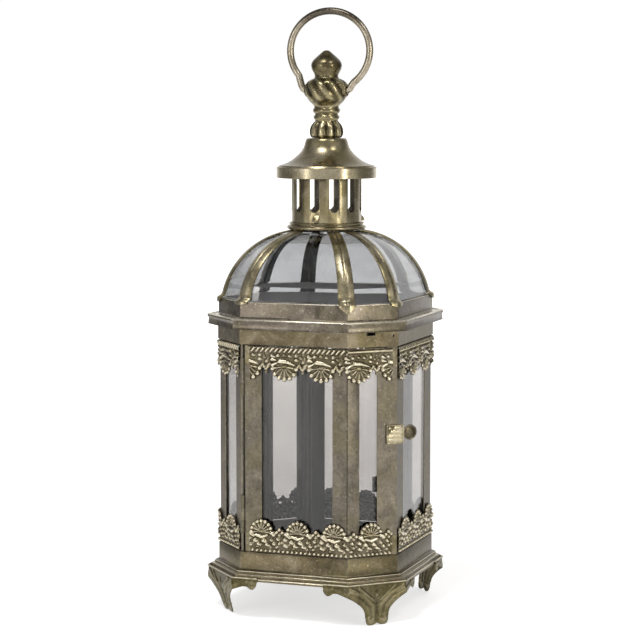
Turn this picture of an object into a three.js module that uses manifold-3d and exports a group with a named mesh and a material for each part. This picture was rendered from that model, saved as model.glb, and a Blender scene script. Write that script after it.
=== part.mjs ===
// A tin lantern on four stamped feet: an octagonal glazed body with a door that wraps one corner,
// a glazed dome, a slotted chimney under a bell cap, and a ring handle that swings in a cast finial.
// Millimetres, +Z up. The origin is on the ground under the middle, and the door faces -Y.

import * as THREE from 'three';
import { mergeVertices } from 'three/addons/utils/BufferGeometryUtils.js';
import Module from 'manifold-3d';

const wasm = await Module();
wasm.setup();

// Sheet, glass and clearances
const sheet = 1;
const laceSheet = 0.8;
const footSheet = 1.2;
const paneThickness = 2;
const domePaneThickness = 1.6;
const solderGap = 0.3;
const paneGap = 0.35;
const doorGap = 1;
const hingeGap = 0.2;

// Plan: a square with its corners cut off, so wide and narrow faces alternate
const bodyAcross = 136;
const chamferLeg = 28;
const lipReach = 6.4;
const ledgeReach = 10;
const corniceReach = 7;
const collarInset = 0.4;
const collarLedge = 6;
const corniceEase = 0.8;

// Heights of the stacked stages, from the ground up
const footHeight = 27.4;
const lipHeight = 2;
const mouldingRise = 4.7;
const bandHeight = 12.9;
const glazedHeight = 147.3;
const fasciaHeight = 11;
const corniceLip = 6.7;
const corniceRise = 0.6;
const collarHeight = 11.4;

// Folded frame strips, measured from the corner they wrap
const wideLeaf = 15;
const narrowLeaf = 10;
const backLeaf = 6;
const webReach = 3.2;
const hingeLeaf = 2;
const stopLeaf = 8.5;
const paneTuck = 12;

// Door
const stileStart = 4;
const stileWidth = 12.5;
const latchStart = 1;
const latchWidth = 15.5;
const stileWeb = 6.5;
const latchWeb = 8.5;
const stileBackLeaf = 5;
const doorFrontLeaf = 11;
const doorSideLeaf = 9.5;
const doorBackLeaf = 5.5;
const railHeight = 14;
const railLip = 3.8;
const hingeInset = 2.1;
const hingeProud = 0.5;
const knuckleRadius = 1.5;
const pinRadius = 0.8;
const hingeLength = 27;
const hingeFromRail = 8.5;
const lowerHingeRise = 12.4;
const pullWidth = 14;
const pullHeight = 13.9;
const pullOverlap = 10;
const pullRise = 77.6;
const fingerReach = 14.1;
const fingerRadius = 5.7;
const fingerRise = -0.4;
const pullSheet = 1.2;
const clipWidth = 8.2;
const clipHeight = 11;
const clipGrip = 3.7;
const upperClipRise = 91;
const lowerClipRise = 44;

// Lace trims: a plain band with shells that hang down or stand up
const laceBand = 13;
const laceHeight = 25.3;
const shellPitch = 27.2;
const shellRadius = 10.6;
const upperLaceStart = 7.2;
const upperLaceEnd = 114.2;
const lowerLaceStart = 7.2;
const lowerLaceEnd = 113.2;
const upperShellPhase = 34;
const lowerShellPhase = 16.4;
const bodyLaceInset = 1.5;

// Feet
const footTop = 30.6;
const footKnee = 21;
// How far each foot leans in at its tip, front right first and then counter-clockwise
const footLeans = [0.6, 4, 4, 7];

// Dome: every rib follows one arc
const domeArcRadius = 57.8;
const domeInset = 2;
const domeArcDrop = 10;
const ribHalfWidth = 6.6;
const ribTopHalfWidth = 4.4;
const ribLap = 6.5;
const ribLapRise = 0.4;
const ribArcRise = 3.5;
const ribEndInset = 1.1;
const domePaneTop = 26;
const domePaneMargin = 1;
const domeChordGap = 0.2;

// Crown ring, chimney and cap
const chimneyRadius = 25.1;
const crownReach = 3.4;
const crownHeight = 5;
const chimneyShown = 31.7;
const slotCount = 11;
const slotWidth = 7.2;
const slotTurn = -89.8;
const slotRise = 12.8;
const slotHeight = 30;
const slotPoint = 2.4;
const slotFoot = 2.8;
const lugTurn = -87;
const lugReach = 2.8;
const lugWidth = 4;
const lugLip = 0.5;
const lugShoulder = 2.3;
const lugHeight = 6.1;
const capRadius = 36;
const capSkirt = 7.4;
const capEdge = 1;
const capShoulderReach = 2;
const capShoulderRise = 0.5;
const capHeight = 28.2;
const neckRadius = 14.4;

// Finial, its stud and nut, and the ring handle
const finialHeight = 62.2;
const studRadius = 1.9;
const studReach = 10;
const studTail = 1;
const nutRadius = 4;
const nutHeight = 3.6;
const ringRadius = 28.3;
const ringHalfWidth = 30;
const ringShift = 2.5;
const ringWire = 2.6;
const ringRise = 61.8;
const pivotRise = 33.8;
const bossReach = 15.6;
const bossRadius = 4.2;
const bossBore = 4;
const bossRoot = 8;
const ringEndReach = 21;
const ringBend = 3.3;
const ringShoulder = 0.6;

// Levels worked out from the stages
const lipTop = footHeight + lipHeight;
const bandFoot = lipTop + mouldingRise;
const bandTop = bandFoot + bandHeight;
const fasciaBottom = bandTop + glazedHeight;
const corniceBottom = fasciaBottom + fasciaHeight;
const corniceTop = corniceBottom + corniceLip;
const collarFoot = corniceTop + corniceRise;
const collarTop = collarFoot + collarHeight;
const floorLevel = bandFoot + solderGap;
const frameTop = collarFoot - sheet - solderGap;
const domeArcZ = collarTop - domeArcDrop;
const doorBottom = bandTop + doorGap;
const doorTop = fasciaBottom - doorGap;

// Levels through the thickness of a wall, as distances out from the plan's outline
const leafFront = -sheet - solderGap;
const leafBack = leafFront - sheet;
const paneFront = leafBack - paneGap;
const paneBack = paneFront - paneThickness;
const innerLeafFront = paneBack - paneGap;
const innerLeafBack = innerLeafFront - sheet;
const doorPaneFront = -sheet - paneGap;
const doorPaneBack = doorPaneFront - paneThickness;
const doorInnerFront = doorPaneBack - paneGap;
const doorInnerBack = doorInnerFront - sheet;

const halfTurn = Math.PI;
const degree = Math.PI / 180;
const mitre = Math.tan(22.5 * degree);

const antiqueBrass = { color: '#8d8262', roughness: 0.42, metalness: 0.85 };
const darkBrass = { color: '#6f664b', roughness: 0.5, metalness: 0.8 };
const paleBrass = { color: '#a89d7c', roughness: 0.38, metalness: 0.85 };
const windowGlass = { color: '#c4c6c6', roughness: 0.08, metalness: 0, transparent: true, opacity: 0.4 };

const lantern = new THREE.Group();
lantern.name = 'tin_lantern';

function addMesh(name, geometry, finish, turn = 0) {
  const mesh = new THREE.Mesh(geometry, new THREE.MeshStandardMaterial(finish));
  mesh.name = name;
  mesh.rotation.z = turn;
  lantern.add(mesh);
  return mesh;
}

// Plan of the body. Face 0 is the front, and the faces count on counter-clockwise seen from above.
function face(index) {
  const wide = index % 2 === 0;
  const turn = (index * 45 - 90) * degree;
  return {
    turn,
    half: wide ? bodyAcross / 2 - chamferLeg : chamferLeg / Math.SQRT2,
    distance: wide ? bodyAcross / 2 : (bodyAcross - chamferLeg) / Math.SQRT2,
  };
}

const faceNames = ['front', 'front_right', 'right', 'back_right', 'back', 'back_left', 'left', 'front_left'];

// The point that lies `along` a face from its middle and `out` from its surface
function facePoint(index, along, out) {
  const { turn, distance } = face(index);
  const reach = distance + out;
  return new THREE.Vector2(
    Math.cos(turn) * reach - Math.sin(turn) * along,
    Math.sin(turn) * reach + Math.cos(turn) * along,
  );
}

// The mitred corner between a face and the next one
function cornerPoint(index, out) {
  return facePoint(index, face(index).half + out * mitre, out);
}

// Points at a distance before and after the corner that ends face `index`
function beforeCorner(index, distance, out) {
  return facePoint(index, face(index).half - distance, out);
}

function afterCorner(index, distance, out) {
  const next = (index + 1) % 8;
  return facePoint(next, distance - face(next).half, out);
}

function signedVolume(positions, indices) {
  let volume = 0;
  const [a, b, c] = [new THREE.Vector3(), new THREE.Vector3(), new THREE.Vector3()];
  for (let i = 0; i < indices.length; i += 3) {
    a.fromArray(positions, indices[i] * 3);
    b.fromArray(positions, indices[i + 1] * 3);
    c.fromArray(positions, indices[i + 2] * 3);
    volume += a.dot(b.cross(c)) / 6;
  }
  return volume;
}

// A closed body through rings of points that match one to one. `outline` is the rings' section,
// which the end caps are triangulated from; without it the last ring joins the first.
function loft(rings, outline = null) {
  const count = rings[0].length;
  const spans = outline ? rings.length - 1 : rings.length;
  const positions = rings.flat().flatMap((point) => [point.x, point.y, point.z]);
  const indices = [];
  for (let span = 0; span < spans; span++) {
    const near = span * count;
    const far = ((span + 1) % rings.length) * count;
    for (let i = 0; i < count; i++) {
      const next = (i + 1) % count;
      indices.push(near + i, near + next, far + next, near + i, far + next, far + i);
    }
  }
  if (outline) {
    const last = (rings.length - 1) * count;
    const winding = THREE.ShapeUtils.isClockWise(outline) ? -1 : 1;
    for (const [a, b, c] of THREE.ShapeUtils.triangulateShape(outline, [])) {
      const [p, q] = winding > 0 ? [b, c] : [c, b];
      indices.push(a, q, p, last + a, last + p, last + q);
    }
  }
  if (signedVolume(positions, indices) < 0) indices.reverse();
  const geometry = new THREE.BufferGeometry();
  geometry.setAttribute('position', new THREE.Float32BufferAttribute(positions, 3));
  geometry.setIndex(indices);
  geometry.computeVertexNormals();
  return geometry;
}

const vector2s = (pairs) => pairs.map(([x, y]) => new THREE.Vector2(x, y));

// A section of [out, z] pairs carried along the walls; `at(out)` gives the plan point of a station
function wallRing(at, section) {
  return section.map(([out, z]) => {
    const point = at(out);
    return new THREE.Vector3(point.x, point.y, z);
  });
}

function octagonRing(section) {
  const rings = [];
  for (let index = 0; index < 8; index++) rings.push(wallRing((out) => cornerPoint(index, out), section));
  return loft(rings);
}

function prism(points, low, high) {
  const shape = new THREE.Shape(points);
  const geometry = new THREE.ExtrudeGeometry(shape, { depth: high - low, bevelEnabled: false });
  return geometry.translate(0, 0, low);
}

// A plate on a face: a shape drawn in [along, z], standing between two distances out
function facePlate(index, shape, outNear, outFar) {
  const geometry = new THREE.ExtrudeGeometry(shape, {
    depth: outFar - outNear, bevelEnabled: false, curveSegments: 8,
  });
  const { turn, distance } = face(index);
  geometry.rotateX(halfTurn / 2).rotateZ(halfTurn / 2);
  return geometry.translate(distance + outNear, 0, 0).rotateZ(turn);
}

function toSolid(geometry) {
  const bare = geometry.clone();
  bare.deleteAttribute('normal');
  bare.deleteAttribute('uv');
  const welded = mergeVertices(bare, 1e-4);
  return new wasm.Manifold(new wasm.Mesh({
    numProp: 3,
    vertProperties: new Float32Array(welded.attributes.position.array),
    triVerts: new Uint32Array(welded.index.array),
  }));
}

function toGeometry(solid) {
  const mesh = solid.getMesh();
  const geometry = new THREE.BufferGeometry();
  geometry.setAttribute('position', new THREE.Float32BufferAttribute(mesh.vertProperties, 3));
  geometry.setIndex(Array.from(mesh.triVerts));
  geometry.computeVertexNormals();
  return geometry;
}

function join(...geometries) {
  return toGeometry(geometries.map(toSolid).reduce((whole, solid) => whole.add(solid)));
}

function cut(geometry, ...tools) {
  return toGeometry(tools.map(toSolid).reduce((whole, tool) => whole.subtract(tool), toSolid(geometry)));
}

function uprightCylinder(radius, low, high, x, y, segments = 12) {
  const geometry = new THREE.CylinderGeometry(radius, radius, high - low, segments);
  return geometry.rotateX(halfTurn / 2).translate(x, y, (low + high) / 2);
}

function lathe(pairs, segments) {
  const geometry = new THREE.LatheGeometry(vector2s(pairs), segments);
  geometry.rotateX(halfTurn / 2);
  const welded = mergeVertices(stripped(geometry), 1e-4);
  return oriented(dropSlivers(welded));
}

function stripped(geometry) {
  geometry.deleteAttribute('normal');
  geometry.deleteAttribute('uv');
  return geometry;
}

// A profile that meets the axis leaves triangles with no area there
function dropSlivers(geometry) {
  const source = Array.from(geometry.index.array);
  const kept = [];
  for (let i = 0; i < source.length; i += 3) {
    const [a, b, c] = source.slice(i, i + 3);
    if (a !== b && b !== c && c !== a) kept.push(a, b, c);
  }
  geometry.setIndex(kept);
  return geometry;
}

function oriented(geometry) {
  const indices = Array.from(geometry.index.array);
  if (signedVolume(geometry.attributes.position.array, indices) < 0) geometry.setIndex(indices.reverse());
  geometry.computeVertexNormals();
  return geometry;
}

// The stepped moulding between band and lip, as [share of its reach, share of its drop]
const mouldingLine = [[0.3, 0.06], [0.42, 0.3], [0.66, 0.45], [0.78, 0.86], [1, 1]];
const mouldingUnderside = [[0.62, 0.93], [0.55, 0.475], [0.275, 0.375], [0.125, 0]];

// Base: a stamped pan with a band, a stepped moulding, a lip and an inner ledge, and the floor on it
function buildBase() {
  const moulding = (line, drop) => (
    line.map(([reach, fall]) => [lipReach * reach, bandFoot - mouldingRise * fall - drop])
  );
  addMesh('base_pan', octagonRing([
    [0, bandTop],
    [0, bandFoot],
    ...moulding(mouldingLine, 0),
    [lipReach, footHeight],
    [lipReach - sheet, footHeight],
    [lipReach - sheet, lipTop - sheet],
    ...moulding(mouldingUnderside, sheet),
    [-ledgeReach, bandFoot - sheet],
    [-ledgeReach, bandFoot],
    [-sheet, bandFoot],
    [-sheet, bandTop],
  ]), antiqueBrass);
  const floorEdge = innerLeafBack - 2 * solderGap;
  const floorOutline = [];
  for (let index = 0; index < 8; index++) floorOutline.push(cornerPoint(index, floorEdge));
  addMesh('floor_plate', prism(floorOutline, floorLevel, floorLevel + sheet), darkBrass);
}

// Feet: one stamped strip round the chamfer and both neighbouring faces, leaning in towards its tip.
// The lower edge is drawn as [distance from the chamfer's middle, height].
const footEdge = [
  [0, 1.1], [2.4, 0], [6.6, 0], [8.5, 1.4], [9.2, 4], [9.3, 7.2], [10.7, 11.4], [13, 14], [16, 16.6],
];
// On the wings it is drawn as [distance past the corner, height], with the curl at the end
const footWingEdge = [
  [0, 20.6], [0.9, 21.8], [4.9, 23.4], [7.6, 23.2], [9.6, 21.9], [11.4, 21.2], [13.4, 21.4], [15, 22.8],
  [15.8, 25.6],
];

function footSection(bottom, lean) {
  const outer = lipReach + solderGap + footSheet;
  const inner = lipReach + solderGap;
  const knee = Math.max(footKnee, bottom + footSheet);
  const leaned = (out, z) => out - lean * Math.max(0, footKnee - z) / footKnee;
  return [
    [outer, footTop],
    [outer, knee],
    [leaned(outer, bottom), bottom],
    [leaned(inner, bottom), bottom],
    [inner, knee],
    [inner, footTop],
  ];
}

function footGeometry(lean) {
  const chamfer = 1;
  const rings = [];
  const addRing = (at, bottom) => rings.push(wallRing(at, footSection(bottom, lean)));
  for (const [past, bottom] of footWingEdge.slice(1).reverse()) {
    addRing((out) => beforeCorner(0, past, out), bottom);
  }
  addRing((out) => cornerPoint(0, out), footWingEdge[0][1]);
  for (const [along, bottom] of footEdge.slice(1).reverse()) {
    addRing((out) => facePoint(chamfer, -along, out), bottom);
  }
  for (const [along, bottom] of footEdge) {
    addRing((out) => facePoint(chamfer, along, out), bottom);
  }
  addRing((out) => cornerPoint(chamfer, out), footWingEdge[0][1]);
  for (const [past, bottom] of footWingEdge.slice(1)) {
    addRing((out) => afterCorner(chamfer, past, out), bottom);
  }
  return loft(rings, vector2s(footSection(footWingEdge.at(-1)[1], lean)));
}

function buildFeet() {
  ['foot_front_right', 'foot_back_right', 'foot_back_left', 'foot_front_left'].forEach((name, quarter) => {
    addMesh(name, footGeometry(footLeans[quarter]), antiqueBrass, quarter * halfTurn / 2);
  });
}

// Corner posts: an outer leaf over both faces, a web between the panes and an inner leaf behind them
function postOutline(corner, before, after) {
  return [
    beforeCorner(corner, before, leafFront),
    cornerPoint(corner, leafFront),
    afterCorner(corner, after, leafFront),
    afterCorner(corner, after, leafBack),
    afterCorner(corner, webReach, leafBack),
    afterCorner(corner, webReach, innerLeafFront),
    afterCorner(corner, backLeaf, innerLeafFront),
    afterCorner(corner, backLeaf, innerLeafBack),
    cornerPoint(corner, innerLeafBack),
    beforeCorner(corner, backLeaf, innerLeafBack),
    beforeCorner(corner, backLeaf, innerLeafFront),
    beforeCorner(corner, webReach, innerLeafFront),
    beforeCorner(corner, webReach, leafBack),
    beforeCorner(corner, before, leafBack),
  ];
}

// The hinge post has only a short leaf on the door's face, and none behind
function hingePostOutline() {
  const corner = 7;
  return [
    beforeCorner(corner, narrowLeaf, leafFront),
    cornerPoint(corner, leafFront),
    afterCorner(corner, hingeLeaf, leafFront),
    afterCorner(corner, hingeLeaf, leafBack),
    cornerPoint(corner, innerLeafBack),
    beforeCorner(corner, backLeaf, innerLeafBack),
    beforeCorner(corner, backLeaf, innerLeafFront),
    beforeCorner(corner, webReach, innerLeafFront),
    beforeCorner(corner, webReach, leafBack),
    beforeCorner(corner, narrowLeaf, leafBack),
  ];
}

// The latch post's leaf on the door's face is the stop that the closed door lies against
function latchPostOutline() {
  const corner = 1;
  return [
    beforeCorner(corner, stopLeaf, leafFront),
    cornerPoint(corner, leafFront),
    afterCorner(corner, wideLeaf, leafFront),
    afterCorner(corner, wideLeaf, leafBack),
    afterCorner(corner, webReach, leafBack),
    afterCorner(corner, webReach, innerLeafFront),
    afterCorner(corner, backLeaf, innerLeafFront),
    afterCorner(corner, backLeaf, innerLeafBack),
    cornerPoint(corner, innerLeafBack),
    beforeCorner(corner, webReach, leafBack),
    beforeCorner(corner, stopLeaf, leafBack),
  ];
}

function buildPosts() {
  const addPost = (name, outline) => addMesh(name, prism(outline, floorLevel, frameTop), antiqueBrass);
  addPost('post_hinge', hingePostOutline());
  addPost('post_latch', latchPostOutline());
  addPost('post_right_back', postOutline(2, wideLeaf, narrowLeaf));
  addPost('post_back_right', postOutline(3, narrowLeaf, wideLeaf));
  addPost('post_back_left', postOutline(4, wideLeaf, narrowLeaf));
  addPost('post_left_back', postOutline(5, narrowLeaf, wideLeaf));
  addPost('post_left_front', postOutline(6, wideLeaf, narrowLeaf));
}

function rectangle(left, right, low, high) {
  return new THREE.Shape(vector2s([[left, low], [right, low], [right, high], [left, high]]));
}

function buildFixedPanes() {
  const firstFixed = 2;
  faceNames.slice(firstFixed).forEach((name, order) => {
    const index = order + firstFixed;
    const half = face(index).half - webReach - paneGap;
    const shape = rectangle(-half, half, floorLevel + paneGap, fasciaBottom + paneTuck);
    addMesh(`pane_${name}`, facePlate(index, shape, paneBack, paneFront), windowGlass);
  });
}

// Top frame: the fascia band, and one stamping that is cornice, collar and the ledge under the dome
function buildTopFrame() {
  addMesh('fascia_band', octagonRing([
    [0, fasciaBottom], [0, frameTop], [-sheet, frameTop], [-sheet, fasciaBottom],
  ]), antiqueBrass);
  const underCornice = frameTop + solderGap;
  addMesh('top_flange', octagonRing([
    [corniceReach, corniceBottom],
    [corniceReach, corniceTop - corniceEase / 2],
    [corniceReach - corniceEase, corniceTop + corniceEase / 4],
    [corniceEase, collarFoot - corniceEase / 8],
    [-collarInset, collarFoot + corniceEase],
    [-collarInset, collarTop],
    [-collarLedge, collarTop],
    [-collarLedge, collarTop - sheet],
    [-collarInset - sheet, collarTop - sheet],
    [-collarInset - sheet, underCornice],
    [corniceEase, underCornice],
    [corniceReach - sheet, corniceTop - corniceEase],
    [corniceReach - sheet, corniceBottom],
  ]), antiqueBrass);
}

// Door frame strips
function stileOutline(place, start, width, web) {
  return [
    place(start, 0),
    place(start + width, 0),
    place(start + width, -sheet),
    place(start + web + sheet, -sheet),
    place(start + web + sheet, doorInnerFront),
    place(start + web + stileBackLeaf, doorInnerFront),
    place(start + web + stileBackLeaf, doorInnerBack),
    place(start + web, doorInnerBack),
    place(start + web, -sheet),
    place(start, -sheet),
  ];
}

const fromHinge = (distance, out) => afterCorner(7, distance, out);
const fromLatch = (distance, out) => beforeCorner(1, distance, out);

const hingeAxis = fromHinge(hingeInset, hingeProud);
const upperHinge = doorTop - hingeFromRail - hingeLength;
const lowerHinge = doorBottom + lowerHingeRise;
const knuckleLength = hingeLength / 3;

function hingeStile() {
  const boreRadius = pinRadius + hingeGap;
  const tabInset = sheet / 10;
  let stile = prism(stileOutline(fromHinge, stileStart, stileWidth, stileWeb), doorBottom, doorTop);
  for (const low of [upperHinge, lowerHinge]) {
    const from = low + knuckleLength + hingeGap;
    const to = low + 2 * knuckleLength - hingeGap;
    const tab = prism([
      fromHinge(hingeInset + knuckleRadius / 2, -tabInset),
      fromHinge(stileStart + sheet, -tabInset),
      fromHinge(stileStart + sheet, tabInset - sheet),
      fromHinge(hingeInset + knuckleRadius / 2, tabInset - sheet),
    ], from, to);
    stile = join(stile, uprightCylinder(knuckleRadius, from, to, hingeAxis.x, hingeAxis.y), tab);
    stile = cut(stile, uprightCylinder(boreRadius, from - 1, to + 1, hingeAxis.x, hingeAxis.y));
  }
  return stile;
}

function cornerStileOutline() {
  const corner = 0;
  return [
    beforeCorner(corner, doorFrontLeaf, 0),
    cornerPoint(corner, 0),
    afterCorner(corner, doorSideLeaf, 0),
    afterCorner(corner, doorSideLeaf, -sheet),
    afterCorner(corner, webReach, -sheet),
    afterCorner(corner, webReach, doorInnerFront),
    afterCorner(corner, doorBackLeaf, doorInnerFront),
    afterCorner(corner, doorBackLeaf, doorInnerBack),
    cornerPoint(corner, doorInnerBack),
    beforeCorner(corner, doorBackLeaf, doorInnerBack),
    beforeCorner(corner, doorBackLeaf, doorInnerFront),
    beforeCorner(corner, webReach, doorInnerFront),
    beforeCorner(corner, webReach, -sheet),
    beforeCorner(corner, doorFrontLeaf, -sheet),
  ];
}

// A rail runs from stile to stile, bent at the door's corner, with a lip that the panes stand on
function doorRail(edge, inner) {
  const lip = edge + Math.sign(inner - edge) * sheet;
  const section = [
    [0, edge], [0, inner], [-sheet, inner], [-sheet, lip], [-railLip, lip], [-railLip, edge],
  ];
  const hingeEnd = stileStart + stileWidth + solderGap;
  const latchEnd = latchStart + latchWidth + solderGap;
  return loft([
    wallRing((out) => fromHinge(hingeEnd, out), section),
    wallRing((out) => cornerPoint(0, out), section),
    wallRing((out) => fromLatch(latchEnd, out), section),
  ], vector2s(section));
}

function buildDoorFrame() {
  addMesh('door_hinge_stile', hingeStile(), antiqueBrass);
  const latchOutline = stileOutline(fromLatch, latchStart, latchWidth, latchWeb);
  addMesh('door_latch_stile', prism(latchOutline, doorBottom, doorTop), antiqueBrass);
  const stileLow = doorBottom + railHeight + solderGap;
  const stileHigh = doorTop - railHeight - solderGap;
  addMesh('door_corner_stile', prism(cornerStileOutline(), stileLow, stileHigh), antiqueBrass);
  addMesh('door_top_rail', doorRail(doorTop, doorTop - railHeight), antiqueBrass);
  addMesh('door_bottom_rail', doorRail(doorBottom, doorBottom + railHeight), antiqueBrass);
}

function buildDoorPanes() {
  const low = doorBottom + sheet + solderGap;
  const high = doorTop - sheet - solderGap;
  const front = face(0).half;
  const side = face(1).half;
  const frontStart = stileStart + stileWeb + sheet + paneGap - front;
  const frontEnd = front - webReach - paneGap;
  const sideStart = webReach + paneGap - side;
  const sideEnd = side - latchStart - latchWeb - sheet - paneGap;
  const frontShape = rectangle(frontStart, frontEnd, low, high);
  const sideShape = rectangle(sideStart, sideEnd, low, high);
  addMesh('door_front_pane', facePlate(0, frontShape, doorPaneBack, doorPaneFront), windowGlass);
  addMesh('door_side_pane', facePlate(1, sideShape, doorPaneBack, doorPaneFront), windowGlass);
}

// Hinges: two fixed knuckles on one pin; the door's knuckle turns between them
function buildHinges() {
  for (const [name, low] of [['hinge_upper', upperHinge], ['hinge_lower', lowerHinge]]) {
    const high = low + hingeLength;
    const geometry = lathe([
      [0, low],
      [knuckleRadius, low],
      [knuckleRadius, low + knuckleLength],
      [pinRadius, low + knuckleLength],
      [pinRadius, high - knuckleLength],
      [knuckleRadius, high - knuckleLength],
      [knuckleRadius, high],
      [0, high],
    ], 12);
    addMesh(name, geometry.translate(hingeAxis.x, hingeAxis.y, 0), darkBrass);
  }
}

// Pull tab: a plate soldered on the latch stile, with a rounded finger that stands out past the corner
function buildPull() {
  const half = face(1).half;
  const low = doorBottom + pullRise;
  const high = low + pullHeight;
  const left = half - pullOverlap;
  const right = left + pullWidth;
  const fingerCentre = half + fingerReach - fingerRadius;
  const fingerMiddle = high - fingerRadius + fingerRise;
  const shape = new THREE.Shape();
  shape.moveTo(left, low);
  shape.lineTo(right, low);
  shape.lineTo(right, fingerMiddle - fingerRadius);
  shape.lineTo(fingerCentre, fingerMiddle - fingerRadius);
  shape.absarc(fingerCentre, fingerMiddle, fingerRadius, -halfTurn / 2, halfTurn / 2, false);
  shape.lineTo(right, high);
  shape.lineTo(left, high);
  addMesh('door_pull', facePlate(1, shape, solderGap, solderGap + pullSheet), paleBrass);
}

// Glass clips: a plate on the back of a stile that steps down onto the pane
function buildClips() {
  const clipOutline = (place, leafEnd) => {
    const step = leafEnd + solderGap;
    const soldered = doorInnerBack - solderGap;
    const gripping = doorPaneBack - solderGap;
    return [
      place(step + clipGrip - clipWidth, soldered),
      place(step, soldered),
      place(step, gripping),
      place(step + clipGrip, gripping),
      place(step + clipGrip, gripping - sheet),
      place(step + sheet, gripping - sheet),
      place(step + sheet, soldered - sheet),
      place(step + clipGrip - clipWidth, soldered - sheet),
    ];
  };
  const addClip = (name, outline, rise) => {
    const low = doorBottom + rise;
    addMesh(name, prism(outline, low, low + clipHeight), darkBrass);
  };
  const hingeLeafEnd = stileStart + stileWeb + stileBackLeaf;
  const latchLeafEnd = latchStart + latchWeb + stileBackLeaf;
  addClip('door_clip_upper', clipOutline(fromHinge, hingeLeafEnd), upperClipRise);
  addClip('door_clip_lower', clipOutline(fromLatch, latchLeafEnd), lowerClipRise);
}

// Lace trims. A strip runs along several faces from a start to an end, with a shell at every pitch;
// `edge` is its straight edge, and it grows from there up or down.
function laceDepth(distance, phase) {
  const fromShell = distance - phase - shellPitch * Math.round((distance - phase) / shellPitch);
  const bump = Math.sqrt(Math.max(0, 1 - (fromShell / shellRadius) ** 2));
  return laceBand + (laceHeight - laceBand) * bump;
}

function laceStations(faces, start, end, phase) {
  const stations = [];
  const shellSteps = [-1, -0.92, -0.6, 0, 0.6, 0.92, 1];
  const corners = [];
  let travelled = 0;
  for (const index of faces) {
    corners.push({ index, from: travelled });
    travelled += 2 * face(index).half;
  }
  const distances = new Set([start, end]);
  for (const { from } of corners) distances.add(from);
  const firstShell = Math.floor((start - phase) / shellPitch);
  const lastShell = Math.ceil((end - phase) / shellPitch);
  for (let shell = firstShell; shell <= lastShell; shell++) {
    for (const step of shellSteps) distances.add(phase + shell * shellPitch + step * shellRadius);
  }
  const sorted = [...distances].filter((value) => value >= start && value <= end).sort((a, b) => a - b);
  for (const distance of sorted) {
    const { index, from } = corners.findLast((corner) => corner.from <= distance);
    const atCorner = distance === from && from > 0;
    const along = distance - from - face(index).half;
    const onCorner = (out) => cornerPoint((index + 7) % 8, out);
    const onFace = (out) => facePoint(index, along, out);
    stations.push({ at: atCorner ? onCorner : onFace, depth: laceDepth(distance, phase) });
  }
  return stations;
}

function laceStrip(faces, start, end, phase, edge, direction, out) {
  const section = (depth) => {
    const tip = edge + direction * depth;
    return [[out, edge], [out + laceSheet, edge], [out + laceSheet, tip], [out, tip]];
  };
  const rings = laceStations(faces, start, end, phase).map(({ at, depth }) => wallRing(at, section(depth)));
  return loft(rings, vector2s(section(laceBand)));
}

function buildLace() {
  const doorFaces = [0, 1];
  const bodyFaces = [2, 3, 4, 5, 6, 7];
  const bodyEnd = 2 * bodyFaces.reduce((length, index) => length + face(index).half, 0) - bodyLaceInset;
  const bodyOut = leafFront + solderGap;
  const upperEdge = fasciaBottom - solderGap;
  const lowerEdge = bandTop + solderGap;
  addMesh('door_upper_lace', laceStrip(
    doorFaces, upperLaceStart, upperLaceEnd, upperShellPhase, doorTop, -1, solderGap,
  ), paleBrass);
  addMesh('door_lower_lace', laceStrip(
    doorFaces, lowerLaceStart, lowerLaceEnd, lowerShellPhase, doorBottom, 1, solderGap,
  ), paleBrass);
  addMesh('body_upper_lace', laceStrip(
    bodyFaces, bodyLaceInset, bodyEnd, upperShellPhase, upperEdge, -1, bodyOut,
  ), paleBrass);
  addMesh('body_lower_lace', laceStrip(
    bodyFaces, bodyLaceInset, bodyEnd, lowerShellPhase, lowerEdge, 1, bodyOut,
  ), paleBrass);
}

// Dome. Every corner lies on one circle, so all ribs are alike.
const cornerRadius = cornerPoint(0, 0).length();
const cornerRadiusAt = (out) => cornerRadius + out / Math.cos(22.5 * degree);
const domeArcCentre = cornerRadius - domeInset - Math.sqrt(domeArcRadius ** 2 - domeArcDrop ** 2);

function domePoint(arcRadius, angle) {
  return { radius: domeArcCentre + arcRadius * Math.cos(angle), z: domeArcZ + arcRadius * Math.sin(angle) };
}

const ribEndRadius = chimneyRadius - ribEndInset;

// Stations of a rib in its own upright plane: the lap on the collar, then the arc of the dome
function ribStations() {
  const lapRadius = cornerRadiusAt(-collarInset + solderGap + sheet);
  const first = Math.asin((domeArcDrop + ribArcRise) / domeArcRadius);
  const stations = [
    { radius: lapRadius, z: collarTop - ribLap, tilt: 0 },
    { radius: lapRadius, z: collarTop + ribLapRise, tilt: 0 },
  ];
  const steps = 8;
  for (let step = 0; step <= steps; step++) {
    const tilt = first + (ribEndAngle - first) * step / steps;
    stations.push({ ...domePoint(domeArcRadius, tilt), tilt });
  }
  return stations;
}

// The folded section at the end of face `index`: a crease outwards, and a leg along each neighbouring
// pane. It is drawn square to the arc, as [out, across], and flattens as the dome closes.
function ribSection(index, half, tilt) {
  const corner = cornerPoint(index, 0);
  const before = face(index).turn - Math.atan2(corner.y, corner.x);
  const normals = [before, before + 45 * degree].map((turn) => (
    new THREE.Vector2(Math.cos(turn), Math.sin(turn) * Math.cos(tilt)).normalize()
  ));
  const [beforeNormal, afterNormal] = normals;
  const beforeLeg = new THREE.Vector2(beforeNormal.y, -beforeNormal.x).multiplyScalar(half);
  const afterLeg = new THREE.Vector2(-afterNormal.y, afterNormal.x).multiplyScalar(half);
  const foldDepth = -sheet / (1 + beforeNormal.dot(afterNormal));
  const fold = beforeNormal.clone().add(afterNormal).multiplyScalar(foldDepth);
  return [
    new THREE.Vector2(0, 0),
    afterLeg,
    afterLeg.clone().addScaledVector(afterNormal, -sheet),
    fold,
    beforeLeg.clone().addScaledVector(beforeNormal, -sheet),
    beforeLeg,
  ];
}

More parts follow.
